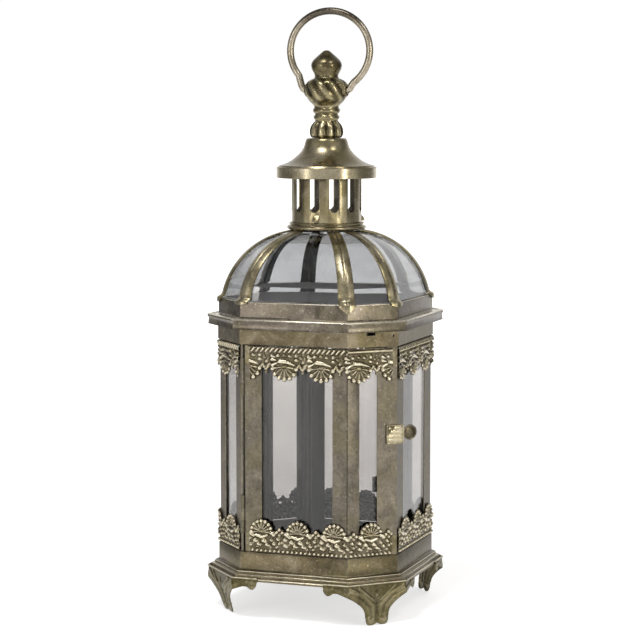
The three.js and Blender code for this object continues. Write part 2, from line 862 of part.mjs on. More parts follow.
function ribGeometry(index) {
  const stations = ribStations();
  const rings = stations.map(({ radius, z, tilt }, order) => {
    const share = order / (stations.length - 1);
    const half = ribHalfWidth + (ribTopHalfWidth - ribHalfWidth) * share;
    return ribSection(index, half, tilt).map(({ x: out, y: across }) => new THREE.Vector3(
      radius + Math.cos(tilt) * out, across, z + Math.sin(tilt) * out,
    ));
  });
  return loft(rings, ribSection(index, ribHalfWidth, 0));
}

function domePaneGeometry(index) {
  const { half, distance } = face(index);
  const spread = Math.atan2(half, distance);
  const outerArc = domeArcRadius - (sheet + solderGap) / Math.cos(22.5 * degree) - domeChordGap;
  const innerArc = outerArc - domePaneThickness;
  const first = Math.asin((domeArcDrop + paneGap) / innerArc);
  const last = Math.acos((domePaneTop - domeArcCentre) / innerArc);
  const corners = (arc, angle) => {
    const { radius, z } = domePoint(arc, angle);
    const reach = radius * Math.sin(spread) - domePaneMargin;
    return [-1, 1].map((side) => new THREE.Vector3(radius * Math.cos(spread), side * reach, z));
  };
  const steps = 7;
  const rings = [];
  for (let step = 0; step <= steps; step++) {
    const angle = first + (last - first) * step / steps;
    const [outerLeft, outerRight] = corners(outerArc, angle);
    const [innerLeft, innerRight] = corners(innerArc, angle);
    rings.push([outerLeft, outerRight, innerRight, innerLeft]);
  }
  return loft(rings, vector2s([[1, -1], [1, 1], [0, 1], [0, -1]]));
}

function buildDome() {
  const ribs = [ribGeometry(0), ribGeometry(1)];
  const panes = [domePaneGeometry(0), domePaneGeometry(1)];
  faceNames.forEach((name, index) => {
    const corner = cornerPoint(index, 0);
    addMesh(`dome_rib_${index + 1}`, ribs[index % 2].clone(), antiqueBrass, Math.atan2(corner.y, corner.x));
    addMesh(`dome_pane_${name}`, panes[index % 2].clone(), windowGlass, face(index).turn);
  });
}

const ribEndAngle = Math.acos((ribEndRadius - domeArcCentre) / domeArcRadius);
const crownBottom = domePoint(domeArcRadius, ribEndAngle).z + solderGap;
const crownTop = crownBottom + crownHeight;
const capBottom = crownTop + chimneyShown;

// A round lip with a groove and a thin rim over it, as [in from the edge, height]
const crownLine = [[0.9, 0], [0, 0.9], [0, 2.4], [0.9, 3.2], [1.9, 3.6], [1.3, 4.2], [1.5, crownHeight]];

function buildCrown() {
  const bore = chimneyRadius + solderGap;
  addMesh('crown_ring', lathe([
    [bore, crownBottom],
    ...crownLine.map(([inset, rise]) => [chimneyRadius + crownReach - inset, crownBottom + rise]),
    [bore, crownTop],
    [bore, crownBottom],
  ], 32), paleBrass);
}

// The hollow curve of the bell, as [share of its run out from the neck, share of its rise]
const bellCurve = [[1, 0], [0.67, 0.12], [0.45, 0.26], [0.24, 0.45], [0.1, 0.67], [0.04, 0.85], [0, 1]];

// The bell's outer line, from the foot of the skirt up to the neck, as [radius, height]
function bellLine() {
  const edge = capSkirt + capEdge;
  const foot = edge + capShoulderRise;
  const run = capRadius - capShoulderReach - neckRadius;
  return [
    [capRadius, 0],
    [capRadius, capSkirt],
    [capRadius - capShoulderReach / 3, edge],
    ...bellCurve.map(([out, up]) => [neckRadius + run * out, foot + (capHeight - foot) * up]),
  ];
}

// A line moved sideways by a wall's thickness, towards the axis
function insetLine(line, wall) {
  return line.map(([radius, z], order) => {
    const before = line[Math.max(0, order - 1)];
    const after = line[Math.min(line.length - 1, order + 1)];
    const into = [radius - before[0], z - before[1]];
    const onward = [after[0] - radius, after[1] - z];
    const normals = [into, onward].filter(([x, y]) => Math.hypot(x, y) > 0)
      .map(([x, y]) => [-y / Math.hypot(x, y), x / Math.hypot(x, y)]);
    const sum = normals.reduce((total, [x, y]) => [total[0] + x, total[1] + y], [0, 0]);
    const length = Math.hypot(...sum);
    const scale = wall / (length / normals.length) / length;
    return [radius + sum[0] * scale, z + sum[1] * scale];
  });
}

const bellUnderside = insetLine(bellLine(), sheet);

function bellUndersideAt(radius) {
  const order = bellUnderside.findIndex(([reach], i) => i > 2 && reach <= radius);
  const [nearRadius, nearZ] = bellUnderside[order - 1];
  const [farRadius, farZ] = bellUnderside[order];
  return nearZ + (farZ - nearZ) * (nearRadius - radius) / (nearRadius - farRadius);
}

// A wedge-shaped lug pressed out of the chimney just above the crown ring
function chimneyLug(turn) {
  const root = -0.7 * sheet;
  const shape = new THREE.Shape(vector2s([
    [root, 0], [lugReach, lugLip], [lugReach - lugLip, lugShoulder], [root, lugHeight],
  ]));
  const geometry = new THREE.ExtrudeGeometry(shape, { depth: lugWidth, bevelEnabled: false });
  geometry.translate(chimneyRadius, 0, -lugWidth / 2).rotateX(halfTurn / 2);
  return geometry.translate(0, 0, crownTop + solderGap).rotateZ(turn * degree);
}

function buildChimney() {
  const top = capBottom + bellUndersideAt(chimneyRadius) - solderGap;
  const inner = chimneyRadius - sheet;
  const tube = lathe([
    [chimneyRadius, crownBottom],
    [chimneyRadius, top],
    [inner, top],
    [inner, crownBottom],
    [chimneyRadius, crownBottom],
  ], 40);
  const slotBottom = crownBottom + slotRise;
  const slotTop = slotBottom + slotHeight;
  const half = slotWidth / 2;
  const shape = new THREE.Shape(vector2s([
    [-half, slotBottom + slotPoint], [-slotFoot / 2, slotBottom], [slotFoot / 2, slotBottom],
    [half, slotBottom + slotPoint], [half, slotTop], [-half, slotTop],
  ]));
  const cutDepth = 6 * sheet;
  const slots = [];
  for (let order = 0; order < slotCount; order++) {
    const slot = new THREE.ExtrudeGeometry(shape, { depth: cutDepth, bevelEnabled: false });
    slot.rotateX(halfTurn / 2).rotateZ(halfTurn / 2).translate(chimneyRadius - cutDepth / 2, 0, 0);
    slots.push(slot.rotateZ((slotTurn + order * 360 / slotCount) * degree));
  }
  const lugs = [0, 120, 240].map((step) => chimneyLug(lugTurn + step));
  addMesh('chimney', join(cut(tube, ...slots), ...lugs), antiqueBrass);
}

function buildCap() {
  const outer = bellLine();
  const bore = studRadius + solderGap;
  const line = [
    ...outer,
    [bore, capHeight],
    [bore, capHeight - sheet],
    [neckRadius - sheet, capHeight - sheet],
    ...bellUnderside.slice(0, -1).reverse(),
    outer[0],
  ];
  addMesh('cap', lathe(line.map(([radius, z]) => [radius, capBottom + z]), 32), paleBrass);
}

const finialFoot = capBottom + capHeight + solderGap;

// Finial turned about the axis, as [radius, height above its foot]
function finialLine() {
  const boreRadius = studRadius + solderGap;
  return [
    [0, studReach],
    [boreRadius, studReach],
    [boreRadius, 0],
    [10.8, 0],
    [11.9, 2],
    [12, 6],
    [11.2, 8.6],
    [9.7, 10.6],
    [8.6, 12.4],
    [8.7, 14.6],
    [9.3, 16.6],
    [9.3, 21],
    [9.9, 23.4],
    [11.6, 25.4],
    [13.6, 27.6],
    [14.8, 30],
    [15.3, 33],
    [15.2, 36.6],
    [14.6, 38.8],
    [12.6, 40.8],
    [8.6, 42.4],
    [8.5, 44.8],
    [9.7, 46.8],
    [10.8, 49],
    [11.1, 51.2],
    [10.4, 53.4],
    [9, 55.4],
    [7.2, 57.6],
    [4.8, 59.8],
    [2.6, finialHeight - 0.6],
    [0, finialHeight],
  ];
}

function crossCylinder(radius, from, to, z) {
  const geometry = new THREE.CylinderGeometry(radius, radius, to - from, 16);
  return geometry.rotateZ(halfTurn / 2).translate((from + to) / 2, 0, z);
}

const pivotZ = finialFoot + pivotRise;

function buildFinial() {
  const body = lathe(finialLine().map(([radius, z]) => [radius, finialFoot + z]), 28);
  const bosses = [-1, 1].map((side) => {
    const ends = [side * bossRoot, side * bossReach].sort((a, b) => a - b);
    return crossCylinder(bossRadius, ends[0], ends[1], pivotZ);
  });
  const bores = [-1, 1].map((side) => {
    const ends = [side * (bossReach - bossBore), side * (bossReach + ringBend)].sort((a, b) => a - b);
    return crossCylinder(ringWire + solderGap, ends[0], ends[1], pivotZ);
  });
  addMesh('finial', cut(join(body, ...bosses), ...bores), antiqueBrass);
}

function buildStud() {
  const plateBottom = capBottom + capHeight - sheet;
  const nutTop = plateBottom - solderGap;
  const studTop = finialFoot + studReach - solderGap;
  const stud = uprightCylinder(studRadius, nutTop - nutHeight - studTail, studTop, 0, 0);
  const nut = uprightCylinder(nutRadius, nutTop - nutHeight, nutTop, 0, 0, 6);
  addMesh('finial_stud', join(stud, nut), darkBrass);
}

// Ring handle: a split ring whose ends turn inwards along the axis that it swings about
function buildRing() {
  const centreZ = finialFoot + ringRise;
  const startAngle = -Math.acos((ringEndReach - ringShift) / ringHalfWidth);
  const endAngle = 2 * halfTurn - Math.acos((-ringEndReach - ringShift) / ringHalfWidth);
  const pinEnd = bossReach - bossBore + solderGap;
  const right = [
    new THREE.Vector3(pinEnd, 0, pivotZ),
    new THREE.Vector3((pinEnd + bossReach) / 2, 0, pivotZ),
    new THREE.Vector3(bossReach + ringShoulder, 0, pivotZ),
    new THREE.Vector3(bossReach + ringBend, 0, pivotZ + ringBend),
  ];
  const arc = [];
  const steps = 20;
  for (let step = 0; step <= steps; step++) {
    const angle = startAngle + (endAngle - startAngle) * step / steps;
    const along = ringShift + ringHalfWidth * Math.cos(angle);
    arc.push(new THREE.Vector3(along, 0, centreZ + ringRadius * Math.sin(angle)));
  }
  const left = right.map((point) => new THREE.Vector3(-point.x, 0, point.z)).reverse();
  const path = new THREE.CatmullRomCurve3([...right, ...arc, ...left]);
  const sides = 8;
  const section = new THREE.Shape();
  for (let side = 0; side < sides; side++) {
    const angle = (side + 0.5) * 2 * halfTurn / sides;
    const [x, y] = [ringWire * Math.cos(angle), ringWire * Math.sin(angle)];
    if (side === 0) section.moveTo(x, y);
    else section.lineTo(x, y);
  }
  const geometry = new THREE.ExtrudeGeometry(section, {
    steps: 64, extrudePath: path, bevelEnabled: false,
  });
  addMesh('ring_handle', geometry, paleBrass);
}

buildBase();
buildFeet();
buildPosts();
buildFixedPanes();
buildTopFrame();
buildDoorFrame();
buildDoorPanes();
buildHinges();
buildPull();
buildClips();
buildLace();
buildDome();
buildCrown();
buildChimney();
buildCap();
buildFinial();
buildStud();
buildRing();

export default lantern;
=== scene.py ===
import math

import bmesh
import bpy
import numpy as np
from mathutils import Matrix, Vector


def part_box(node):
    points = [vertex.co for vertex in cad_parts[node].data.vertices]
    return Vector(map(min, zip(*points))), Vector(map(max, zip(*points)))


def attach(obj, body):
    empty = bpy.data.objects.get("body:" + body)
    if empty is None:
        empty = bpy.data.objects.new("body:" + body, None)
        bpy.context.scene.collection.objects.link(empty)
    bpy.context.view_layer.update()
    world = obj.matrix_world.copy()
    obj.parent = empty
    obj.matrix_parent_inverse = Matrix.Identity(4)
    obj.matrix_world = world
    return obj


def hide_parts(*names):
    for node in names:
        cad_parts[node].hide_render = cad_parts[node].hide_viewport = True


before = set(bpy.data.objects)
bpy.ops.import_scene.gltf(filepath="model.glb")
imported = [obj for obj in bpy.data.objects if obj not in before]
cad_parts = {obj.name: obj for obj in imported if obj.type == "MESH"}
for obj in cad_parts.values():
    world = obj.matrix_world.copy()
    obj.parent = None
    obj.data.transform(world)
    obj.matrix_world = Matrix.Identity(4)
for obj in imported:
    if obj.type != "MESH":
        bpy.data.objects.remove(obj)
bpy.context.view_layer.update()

# The lantern is modelled in millimetres and each finished piece is scaled to metres
metresPerMm = 0.001
scene = bpy.context.scene

# Plan of the walls: a square with its corners cut off, door face first, counted counter-clockwise from above
walls = {"across": 136, "chamferLeg": 28}
levels = {
    "lipFoot": 27.4, "bandFoot": 34.1, "bandTop": 47, "fasciaFoot": 194.3, "corniceFoot": 205.3, "frameTop": 211.3,
    "collarFoot": 212.6, "collarTop": 224,
}
sheet = 1
mitre = math.tan(math.radians(22.5))


def wallFace(index):
    wide = index % 2 == 0
    turn = math.radians(index % 8 * 45 - 90)
    half = walls["across"] / 2 - walls["chamferLeg"] if wide else walls["chamferLeg"] / math.sqrt(2)
    distance = walls["across"] / 2 if wide else (walls["across"] - walls["chamferLeg"]) / math.sqrt(2)
    return turn, half, distance


def wallPoint(index, along, out, height=0):
    turn, _, distance = wallFace(index)
    reach = distance + out
    return Vector((
        math.cos(turn) * reach - math.sin(turn) * along,
        math.sin(turn) * reach + math.cos(turn) * along,
        height,
    ))


def cornerPoint(index, out, height=0):  # the corner between a wall and the next one
    return wallPoint(index, wallFace(index)[1] + out * mitre, out, height)


def toLinear(hexColour):
    channels = [int(hexColour[i:i + 2], 16) / 255 for i in (1, 3, 5)]
    return tuple(c / 12.92 if c <= 0.04045 else ((c + 0.055) / 1.055) ** 2.4 for c in channels) + (1,)


def grey(level):
    return (level, level, level, 1)


def setNode(tree, node, settings):  # a setting that is another node's output becomes a link
    for name, value in settings.items():
        if isinstance(value, bpy.types.NodeSocket):
            tree.links.new(value, node.inputs[name])
        elif name == "stops":
            stops = node.color_ramp.elements
            while len(stops) < len(value):
                stops.new(0.5)
            for stop, (place, colour) in zip(stops, value):
                stop.position = place
                stop.color = colour
        elif isinstance(name, int) or name in node.inputs:
            node.inputs[name].default_value = value
        else:
            setattr(node, name, value)


def addNode(tree, kind, settings=None, output=None):
    node = tree.nodes.new("ShaderNode" + kind)
    setNode(tree, node, settings or {})
    return node.outputs[output] if output else node


def newMaterial(name):
    material = bpy.data.materials.new(name)
    material.use_nodes = True
    tree = material.node_tree
    tree.nodes.clear()
    surface = addNode(tree, "BsdfPrincipled")
    addNode(tree, "OutputMaterial", {"Surface": surface.outputs["BSDF"]})
    return material, tree, surface


def perMetre(millimetres):
    return 1 / (millimetres * metresPerMm)


# Brass leaf laid over tinplate and rubbed back: olive-brown patches, satin, pale on the high spots as wear and painted
# highlight.
# The inner side is a darker blue-grey, partly bare tin and partly painted shade.
frameLook = {
    "leaf": ("#5b554b", "#6c655a", "#7f7769"), "tint": "#726b4e", "tintShare": 0.35, "rub": "#d2c8b0",
    "soot": "#39342c", "inside": "#616460", "insideMetal": 0.5, "speck": 0.7, "fleck": 0.4, "patchMm": 13,
    "grainMm": 1.6, "roughness": (0.36, 0.5), "metallic": 0.92, "dentMm": 26, "dentDepthMm": 0.3, "grainBump": 0.3,
    "grainDepthMm": 0.05,
}


def leafedTin(name, **changes):
    look = {**frameLook, **changes}
    material, tree, surface = newMaterial(name)
    place = addNode(tree, "TexCoord", output="Object")
    moved = addNode(tree, "Mapping", {"Vector": place, "Location": (0.31, 0.17, 0.53)}, "Vector")
    # Each noise: where it is read, its size, detail, roughness and distortion. The tints are read from a place of
    # their own, so that they don't follow the patches.
    noises = [
        (place, look["patchMm"], 5, 0.6, 0.6), (moved, look["patchMm"] * 1.7, 3, 0.5, 0),
        (place, look["grainMm"], 4, 0.7, 0), (place, look["dentMm"], 2, 0.5, 0),
    ]
    patches, tints, grain, dents = [addNode(tree, "TexNoise", {
        "Vector": vector, "Scale": perMetre(size), "Detail": detail, "Roughness": rough, "Distortion": twist,
    }, "Fac") for vector, size, detail, rough, twist in noises]
    # Where each mask starts and ends in its noise, and its value there
    ranges = {
        "tint": (tints, 0.46, 0, 0.62, look["tintShare"]),
        "specks": (grain, 0.36, look["speck"], 0.5, 1),
        "wearAndHighlightBreak": (grain, 0.3, 0.35, 0.55, 1),
        "flecks": (grain, 0.62, 0, 0.7, look["fleck"]),
    }
    masks = {}
    for mask, (source, start, low, end, high) in ranges.items():
        masks[mask] = addNode(tree, "ValToRGB", {
            "Fac": source, "stops": [(start, grey(low)), (end, grey(high))],
        }, "Color")
    # The marks: the inner side, a dark mark that is partly patina and mostly painted shade, and a pale mark that is
    # partly wear and partly painted highlight
    marks = {
        mark: addNode(tree, "Attribute", {"attribute_name": mark}, "Fac") for mark in ("inside", "soot", "wear")
    }
    wearAndHighlight = marks["wear"]
    for blend, mask in [("MULTIPLY", "wearAndHighlightBreak"), ("LIGHTEN", "flecks")]:
        wearAndHighlight = addNode(tree, "MixRGB", {
            "blend_type": blend, "Fac": 1, "Color1": wearAndHighlight, "Color2": masks[mask],
        }, "Color")
    colour = addNode(tree, "ValToRGB", {
        "Fac": patches, "stops": [(at, toLinear(leaf)) for at, leaf in zip((0.34, 0.5, 0.66), look["leaf"])],
    }, "Color")
    layers = [  # laid over the leaf in turn: how each mixes, how much of it shows, and its colour
        ("MIX", masks["tint"], toLinear(look["tint"])), ("MULTIPLY", 1, masks["specks"]),
        ("MIX", marks["inside"], toLinear(look["inside"])), ("MIX", marks["soot"], toLinear(look["soot"])),
        ("MIX", wearAndHighlight, toLinear(look["rub"])),
    ]
    for blend, share, layer in layers:
        colour = addNode(tree, "MixRGB", {
            "blend_type": blend, "Fac": share, "Color1": colour, "Color2": layer,
        }, "Color")
    low, high = look["roughness"]
    rough = addNode(tree, "MapRange", {
        "Value": patches, "From Min": 0.35, "From Max": 0.65, "To Min": low, "To Max": high,
    }, "Result")
    dented = addNode(tree, "Bump", {
        "Height": dents, "Strength": 1, "Distance": look["dentDepthMm"] * metresPerMm,
    }, "Normal")
    grained = addNode(tree, "Bump", {
        "Height": grain, "Normal": dented, "Strength": look["grainBump"],
        "Distance": look["grainDepthMm"] * metresPerMm,
    }, "Normal")
    metal = addNode(tree, "MapRange", {
        "Value": marks["inside"], "From Min": 0, "From Max": 1, "To Min": look["metallic"],
        "To Max": look["insideMetal"],
    }, "Result")
    setNode(tree, surface, {"Base Color": colour, "Roughness": rough, "Metallic": metal, "Normal": grained})
    return material


brassLeafTin = leafedTin("brass_leaf_on_tinplate_rubbed")

# Browner leaf on the stamped base and the fascia, which were handled less
brownLeafTin = leafedTin(
    "brass_leaf_on_tinplate_brown", leaf=("#514838", "#695f4b", "#837965"), tint="#655e3a", tintShare=0.4,
    rub="#e2d9c2", soot="#2f2a1f", inside="#8b8c90", patchMm=20, roughness=(0.28, 0.4),
)

# The flange is much the same outside, with a paler colour for its painted highlight; its inner side is painted
# near-white and matt as painted light for the light falling in through the dome
flangeLeafTin = leafedTin(
    "brass_leaf_on_tinplate_bright_inside", leaf=("#524c43", "#675f55", "#7e766a"), tint="#67613f", tintShare=0.3,
    rub="#efe7d4", soot="#2f2a1f", inside="#efedf0", insideMetal=0, roughness=(0.24, 0.36),
)

# The feet have gone olive
oliveLeafTin = leafedTin(
    "brass_leaf_on_stamped_tinplate_olive", leaf=("#4d462f", "#665e43", "#7e765b"), tint="#5f5935", tintShare=0.4,
    soot="#2a2415", patchMm=12, roughness=(0.3, 0.42),
)

# The ribs were polished more, and are yellower
ribBrassLeaf = leafedTin(
    "brass_leaf_on_tinplate_polished", leaf=("#695f45", "#8a7f62", "#a49a7f"), tint="#80783f", tintShare=0.5,
    inside="#858c8e", insideMetal=0, roughness=(0.22, 0.32),
)

# The same leaf on the stamped lace, pale on every boss as polish and painted highlight, and dark in the hollows as
# patina and painted shade
stampedBrassLeaf = leafedTin(
    "brass_leaf_on_stamped_tinplate_polished", leaf=("#665c48", "#867c66", "#a0967f"), tint="#847a50", rub="#e9dfc6",
    soot="#241d12", speck=0.8, patchMm=9, grainMm=0.9, roughness=(0.2, 0.32), dentMm=12, dentDepthMm=0.15,
)

# The back of the lace was never leafed: bare tin seen through the panes opposite, painted paler as painted light for
# the light lost in them, and bright on the bosses as painted highlight
bareTinBackPaintedLight = leafedTin(
    "tinplate_stamped_bare_painted_light", leaf=("#c0c2b9", "#d2d4ca", "#e2e3da"), tint="#c9cbb2", tintShare=0.3, rub="#f0f0e8",
    soot="#2f312c", patchMm=9, roughness=(0.4, 0.55), metallic=0.25,
)

# Spun pieces above the dome: greener brass with broad soft highlights
spunBrassLeaf = leafedTin(
    "brass_leaf_on_spun_tin_satin", leaf=("#786c54", "#92876e", "#a99f89"), tint="#89804f", rub="#e4dbc0",
    inside="#857d70", speck=0.85, fleck=0.1, patchMm=18, roughness=(0.21, 0.3), dentDepthMm=0.25,
)

# The cast finial, pale on its lobes as wear and painted highlight, and nearly black between them as patina and painted
# shade
castBrassLeaf = leafedTin(
    "brass_leaf_on_cast_zinc_rubbed", leaf=("#4d4532", "#6c6248", "#8b8166"), tint="#676039", tintShare=0.45,
    rub="#cfc39b", soot="#2b2517", patchMm=8, grainMm=1.1, roughness=(0.2, 0.34), dentMm=6, dentDepthMm=0.14,
)

# The ring, worn by the hand to a warm grey
wireBrassLeaf = leafedTin(
    "brass_leaf_on_steel_wire_worn", leaf=("#5f564b", "#8a8074", "#a69c90"), tint="#867a5c", tintShare=0.3,
    rub="#cfc5ac", patchMm=9, grainMm=1.2, roughness=(0.2, 0.32), dentMm=8, dentDepthMm=0.1,
)

# Bare darkened steel pins, clips and the floor, where the leaf has mostly gone
darkSteel = leafedTin(
    "steel_blackened_oiled", leaf=("#2c2a25", "#48453c", "#6a6557"), tint="#5a5238", tintShare=0.3, rub="#a79c80",
    patchMm=8, grainMm=0.8, roughness=(0.4, 0.6), metallic=0.8,
)


def sheetGlass(name, clear, dusty, hazeMm, waveMm, hazeRoughness=0.02, waveDepthMm=0.1):
    material, tree, surface = newMaterial(name)
    place = addNode(tree, "TexCoord", output="Object")
    haze = addNode(tree, "TexNoise", {
        "Vector": place, "Scale": perMetre(hazeMm), "Detail": 6, "Roughness": 0.65,
    }, "Fac")
    rough = addNode(tree, "MapRange", {
        "Value": haze, "From Min": 0.45, "From Max": 0.75, "To Min": 0, "To Max": hazeRoughness,
    }, "Result")
    colour = addNode(tree, "ValToRGB", {
        "Fac": haze, "stops": [(0.35, toLinear(clear)), (0.7, toLinear(dusty))],
    }, "Color")
    waves = addNode(tree, "TexNoise", {"Vector": place, "Scale": perMetre(waveMm), "Detail": 1}, "Fac")
    wavy = addNode(tree, "Bump", {
        "Height": waves, "Strength": 1, "Distance": waveDepthMm * metresPerMm,
    }, "Normal")
    setNode(tree, surface, {
        "Base Color": colour, "Roughness": rough, "Normal": wavy, "Transmission Weight": 1, "IOR": 1.5,
    })
    return material


# Drawn window glass with a grey cast, a faint wave and a film of dust
windowGlass = sheetGlass("soda_lime_glass_drawn", "#d3d1cf", "#cdcac8", hazeMm=22, waveMm=40)

# The same glass bent over a form for the dome, a little darker and more wavy
domeGlass = sheetGlass("soda_lime_glass_bent", "#cecfcf", "#c5c5c7", hazeMm=18, waveMm=30)
print("finishes ready")


def toMesh(shape, name):
    mesh = bpy.data.meshes.new(name)
    shape.to_mesh(mesh)
    shape.free()
    return mesh


def addObject(name, data):
    added = bpy.data.objects.new(name, data)
    scene.collection.objects.link(added)
    return added


def finishPiece(shape, node, process, look, smooth=None, recalculate=True):
    if recalculate:
        bmesh.ops.recalc_face_normals(shape, faces=shape.faces)
    bmesh.ops.scale(shape, vec=(metresPerMm,) * 3, verts=shape.verts)
    mesh = toMesh(shape, f"{node}_{process}")
    mesh.materials.append(look)
    if smooth is not None:  # broad flat panels stay flat, or their shading would bend towards the edges
        flatFrom = 150 * metresPerMm ** 2
        mesh.polygons.foreach_set("use_smooth", [polygon.area < flatFrom for polygon in mesh.polygons])
        mesh.set_sharp_from_angle(angle=math.radians(smooth))
    piece = addObject(f"{node}_{process}", mesh)
    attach(piece, "door" if node.startswith("door") else "ring" if node.startswith("ring") else "body")
    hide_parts(node)
    return piece


def markLayer(items, name):  # one of the marks on faces or on points that a finish reads: wear with painted highlight, soot with painted shade, and the inner side
    layers = items.layers.float
    return layers.get(name) or layers.new(name)


def nodeShape(node):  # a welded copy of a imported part, in millimetres
    shape = bmesh.new()
    shape.from_mesh(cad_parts[node].data)
    bmesh.ops.scale(shape, vec=(1 / metresPerMm,) * 3, verts=shape.verts)
    bmesh.ops.remove_doubles(shape, verts=shape.verts, dist=0.002)
    bmesh.ops.dissolve_limit(shape, angle_limit=math.radians(1), verts=shape.verts, edges=shape.edges)
    return shape


def softenEdges(shape, radius, sharpest=25, wear=0.0, segments=2, only=None):
    sharp = math.radians(sharpest)
    edges = [edge for edge in shape.edges if edge.is_manifold and abs(edge.calc_face_angle(0)) > sharp]
    if only:
        edges = [edge for edge in edges if only(edge)]
    wearAndHighlightLayer = markLayer(shape.faces, "wear")
    made = bmesh.ops.bevel(
        shape, geom=edges, offset=radius, offset_type="OFFSET", segments=segments, profile=0.5,
        affect="EDGES", material=-1, clamp_overlap=True, loop_slide=True,
    )
    # the rounded edges are made pale, partly wear and partly painted highlight
    for face in made["faces"]:
        face[wearAndHighlightLayer] = wear


def markInside(shape):  # faces that look at the lantern's axis take the inner colour of the sheet: partly bare tin, partly painted shade on the frame and painted light on the flange
    layer = markLayer(shape.faces, "inside")
    bmesh.ops.recalc_face_normals(shape, faces=shape.faces)
    for face in shape.faces:
        centre = face.calc_center_median()
        inward = -(face.normal.x * centre.x + face.normal.y * centre.y) / max(math.hypot(centre.x, centre.y), 1)
        face[layer] = min(max((inward - 0.3) / 0.3, 0), 1)


def rubUpper(shape, bands):  # upward faces between two heights, painted pale as a painted highlight
    layer = markLayer(shape.faces, "wear")
    shape.normal_update()
    for face in shape.faces:
        height = face.calc_center_median().z
        for low, high, share in bands:
            if low < height < high and face.normal.z > 0.25:
                face[layer] = share


def softenedNode(node, look, radius=0.3, wear=0.3, smooth=None):
    shape = nodeShape(node)
    softenEdges(shape, radius, wear=wear)
    markInside(shape)
    return finishPiece(shape, node, "folded", look, smooth, recalculate=False)


def turnedShape(profile, steps):  # a profile of [radius, height] spun about the lantern's axis
    shape = bmesh.new()
    verts = [shape.verts.new((radius, 0, height)) for radius, height in profile]
    for start, end in zip(verts, verts[1:]):
        shape.edges.new((start, end))
    bmesh.ops.spin(
        shape, geom=shape.verts[:] + shape.edges[:], cent=(0, 0, 0), axis=(0, 0, 1), angle=2 * math.pi,
        steps=steps, use_merge=True, use_duplicate=False,
    )
    bmesh.ops.remove_doubles(shape, verts=shape.verts, dist=0.001)
    return shape


def sweepRings(rings, capped=True):  # carries a closed section through the rings of points
    shape = bmesh.new()
    order = shape.verts.layers.int.new("order")
    verts = [shape.verts.new(place) for place in rings[0]]
    for number, vert in enumerate(verts):
        vert[order] = number
    first = last = [shape.edges.new((verts[i - 1], verts[i])) for i in range(len(verts))]
    for ring in rings[1:]:
        made = bmesh.ops.extrude_edge_only(shape, edges=last)["geom"]
        last = [item for item in made if isinstance(item, bmesh.types.BMEdge)]
        for vert in {vert for edge in last for vert in edge.verts}:
            vert.co = ring[vert[order]]
    if capped:
        for loop in (first, last):
            bmesh.ops.edgeloop_fill(shape, edges=loop)
    shape.verts.layers.int.remove(order)
    return shape


def wallSweep(profile):  # a closed profile of [out, height] carried round the eight walls
    rings = [[cornerPoint(corner, out, height) for out, height in profile] for corner in range(-1, 8)]
    shape = sweepRings(rings, capped=False)
    bmesh.ops.remove_doubles(shape, verts=shape.verts, dist=0.001)
    return shape


def arc(centre, radius, start, end, steps):
    return [(
        centre[0] + radius * math.cos(math.radians(start + (end - start) * i / steps)),
        centre[1] + radius * math.sin(math.radians(start + (end - start) * i / steps)),
    ) for i in range(steps + 1)]


# The lip turns down round the foot of the base. The bands of painted highlight on upward faces are from one height to
# another, and how much.
baseShape = {
    "cornerRadius": 0.9, "lipReach": 6.4, "lipTurn": 28.4,
    "rubbed": [(28.6, 29.6, 1), (30.9, 32.2, 0.75), (33, 33.9, 0.95)], "bandShade": (0.15, 0.3),
}

lip, lipFoot, lipTurn = baseShape["lipReach"], levels["lipFoot"], baseShape["lipTurn"]
foot, top = levels["bandFoot"], levels["bandTop"]
pan = wallSweep(
    [(-10, foot - 1), (-10, foot), (-1, foot), (-1, top), (-0.2, top), (0, top - 0.2)]
    + [(0, foot + 0.9), (0.6, foot + 0.1)]
    + arc((1.9, foot - 0.75), 0.8, 140, -30, 5)
    + [(2.9, foot - 1.9), (3.5, foot - 2.2)]
    + arc((4.3, foot - 2.8), 0.65, 120, -20, 4)
    + [(5.1, foot - 3.8), (5.5, foot - 4.4)]
    + arc((lip - 1, lipTurn), 1, 85, 0, 6)
    + [(lip, lipFoot), (lip - 1, lipFoot), (lip - 1, lipTurn)]
    + [(3.9, 28.7), (3.5, 30.8), (1.8, 31.4), (0.8, foot - 1)]
)
softenEdges(pan, baseShape["cornerRadius"], sharpest=30, wear=0.08, segments=3, only=lambda edge: (
    abs(edge.verts[0].co.z - edge.verts[1].co.z) > 2
))
markInside(pan)
soot = markLayer(pan.faces, "soot")
leastShade, moreShade = baseShape["bandShade"]
for face in pan.faces:  # the band below the door is darkened as painted shade, more where it faces the front-right
    middle = face.calc_center_median()
    onBand = foot + 0.5 < middle.z < top - 0.1
    facing = face.normal.dot(wallPoint(1, 0, 1) - wallPoint(1, 0, 0))
    if onBand and middle.x > 0 and facing > 0.3:
        face[soot] = leastShade + moreShade * facing
# a painted highlight on the upward faces of the base mouldings
rubUpper(pan, baseShape["rubbed"])
finishPiece(pan, "base_pan", "stamped", brownLeafTin, smooth=35)
softenedNode("floor_plate", darkSteel)
print("base made")

# Slots punched in the narrow front-right part of the fascia: along from its middle, height, half width, half height
fasciaSlots = [(-1.7, 203.4, 3.4, 1.25), (15.4, 201.6, 0.9, 0.9)]


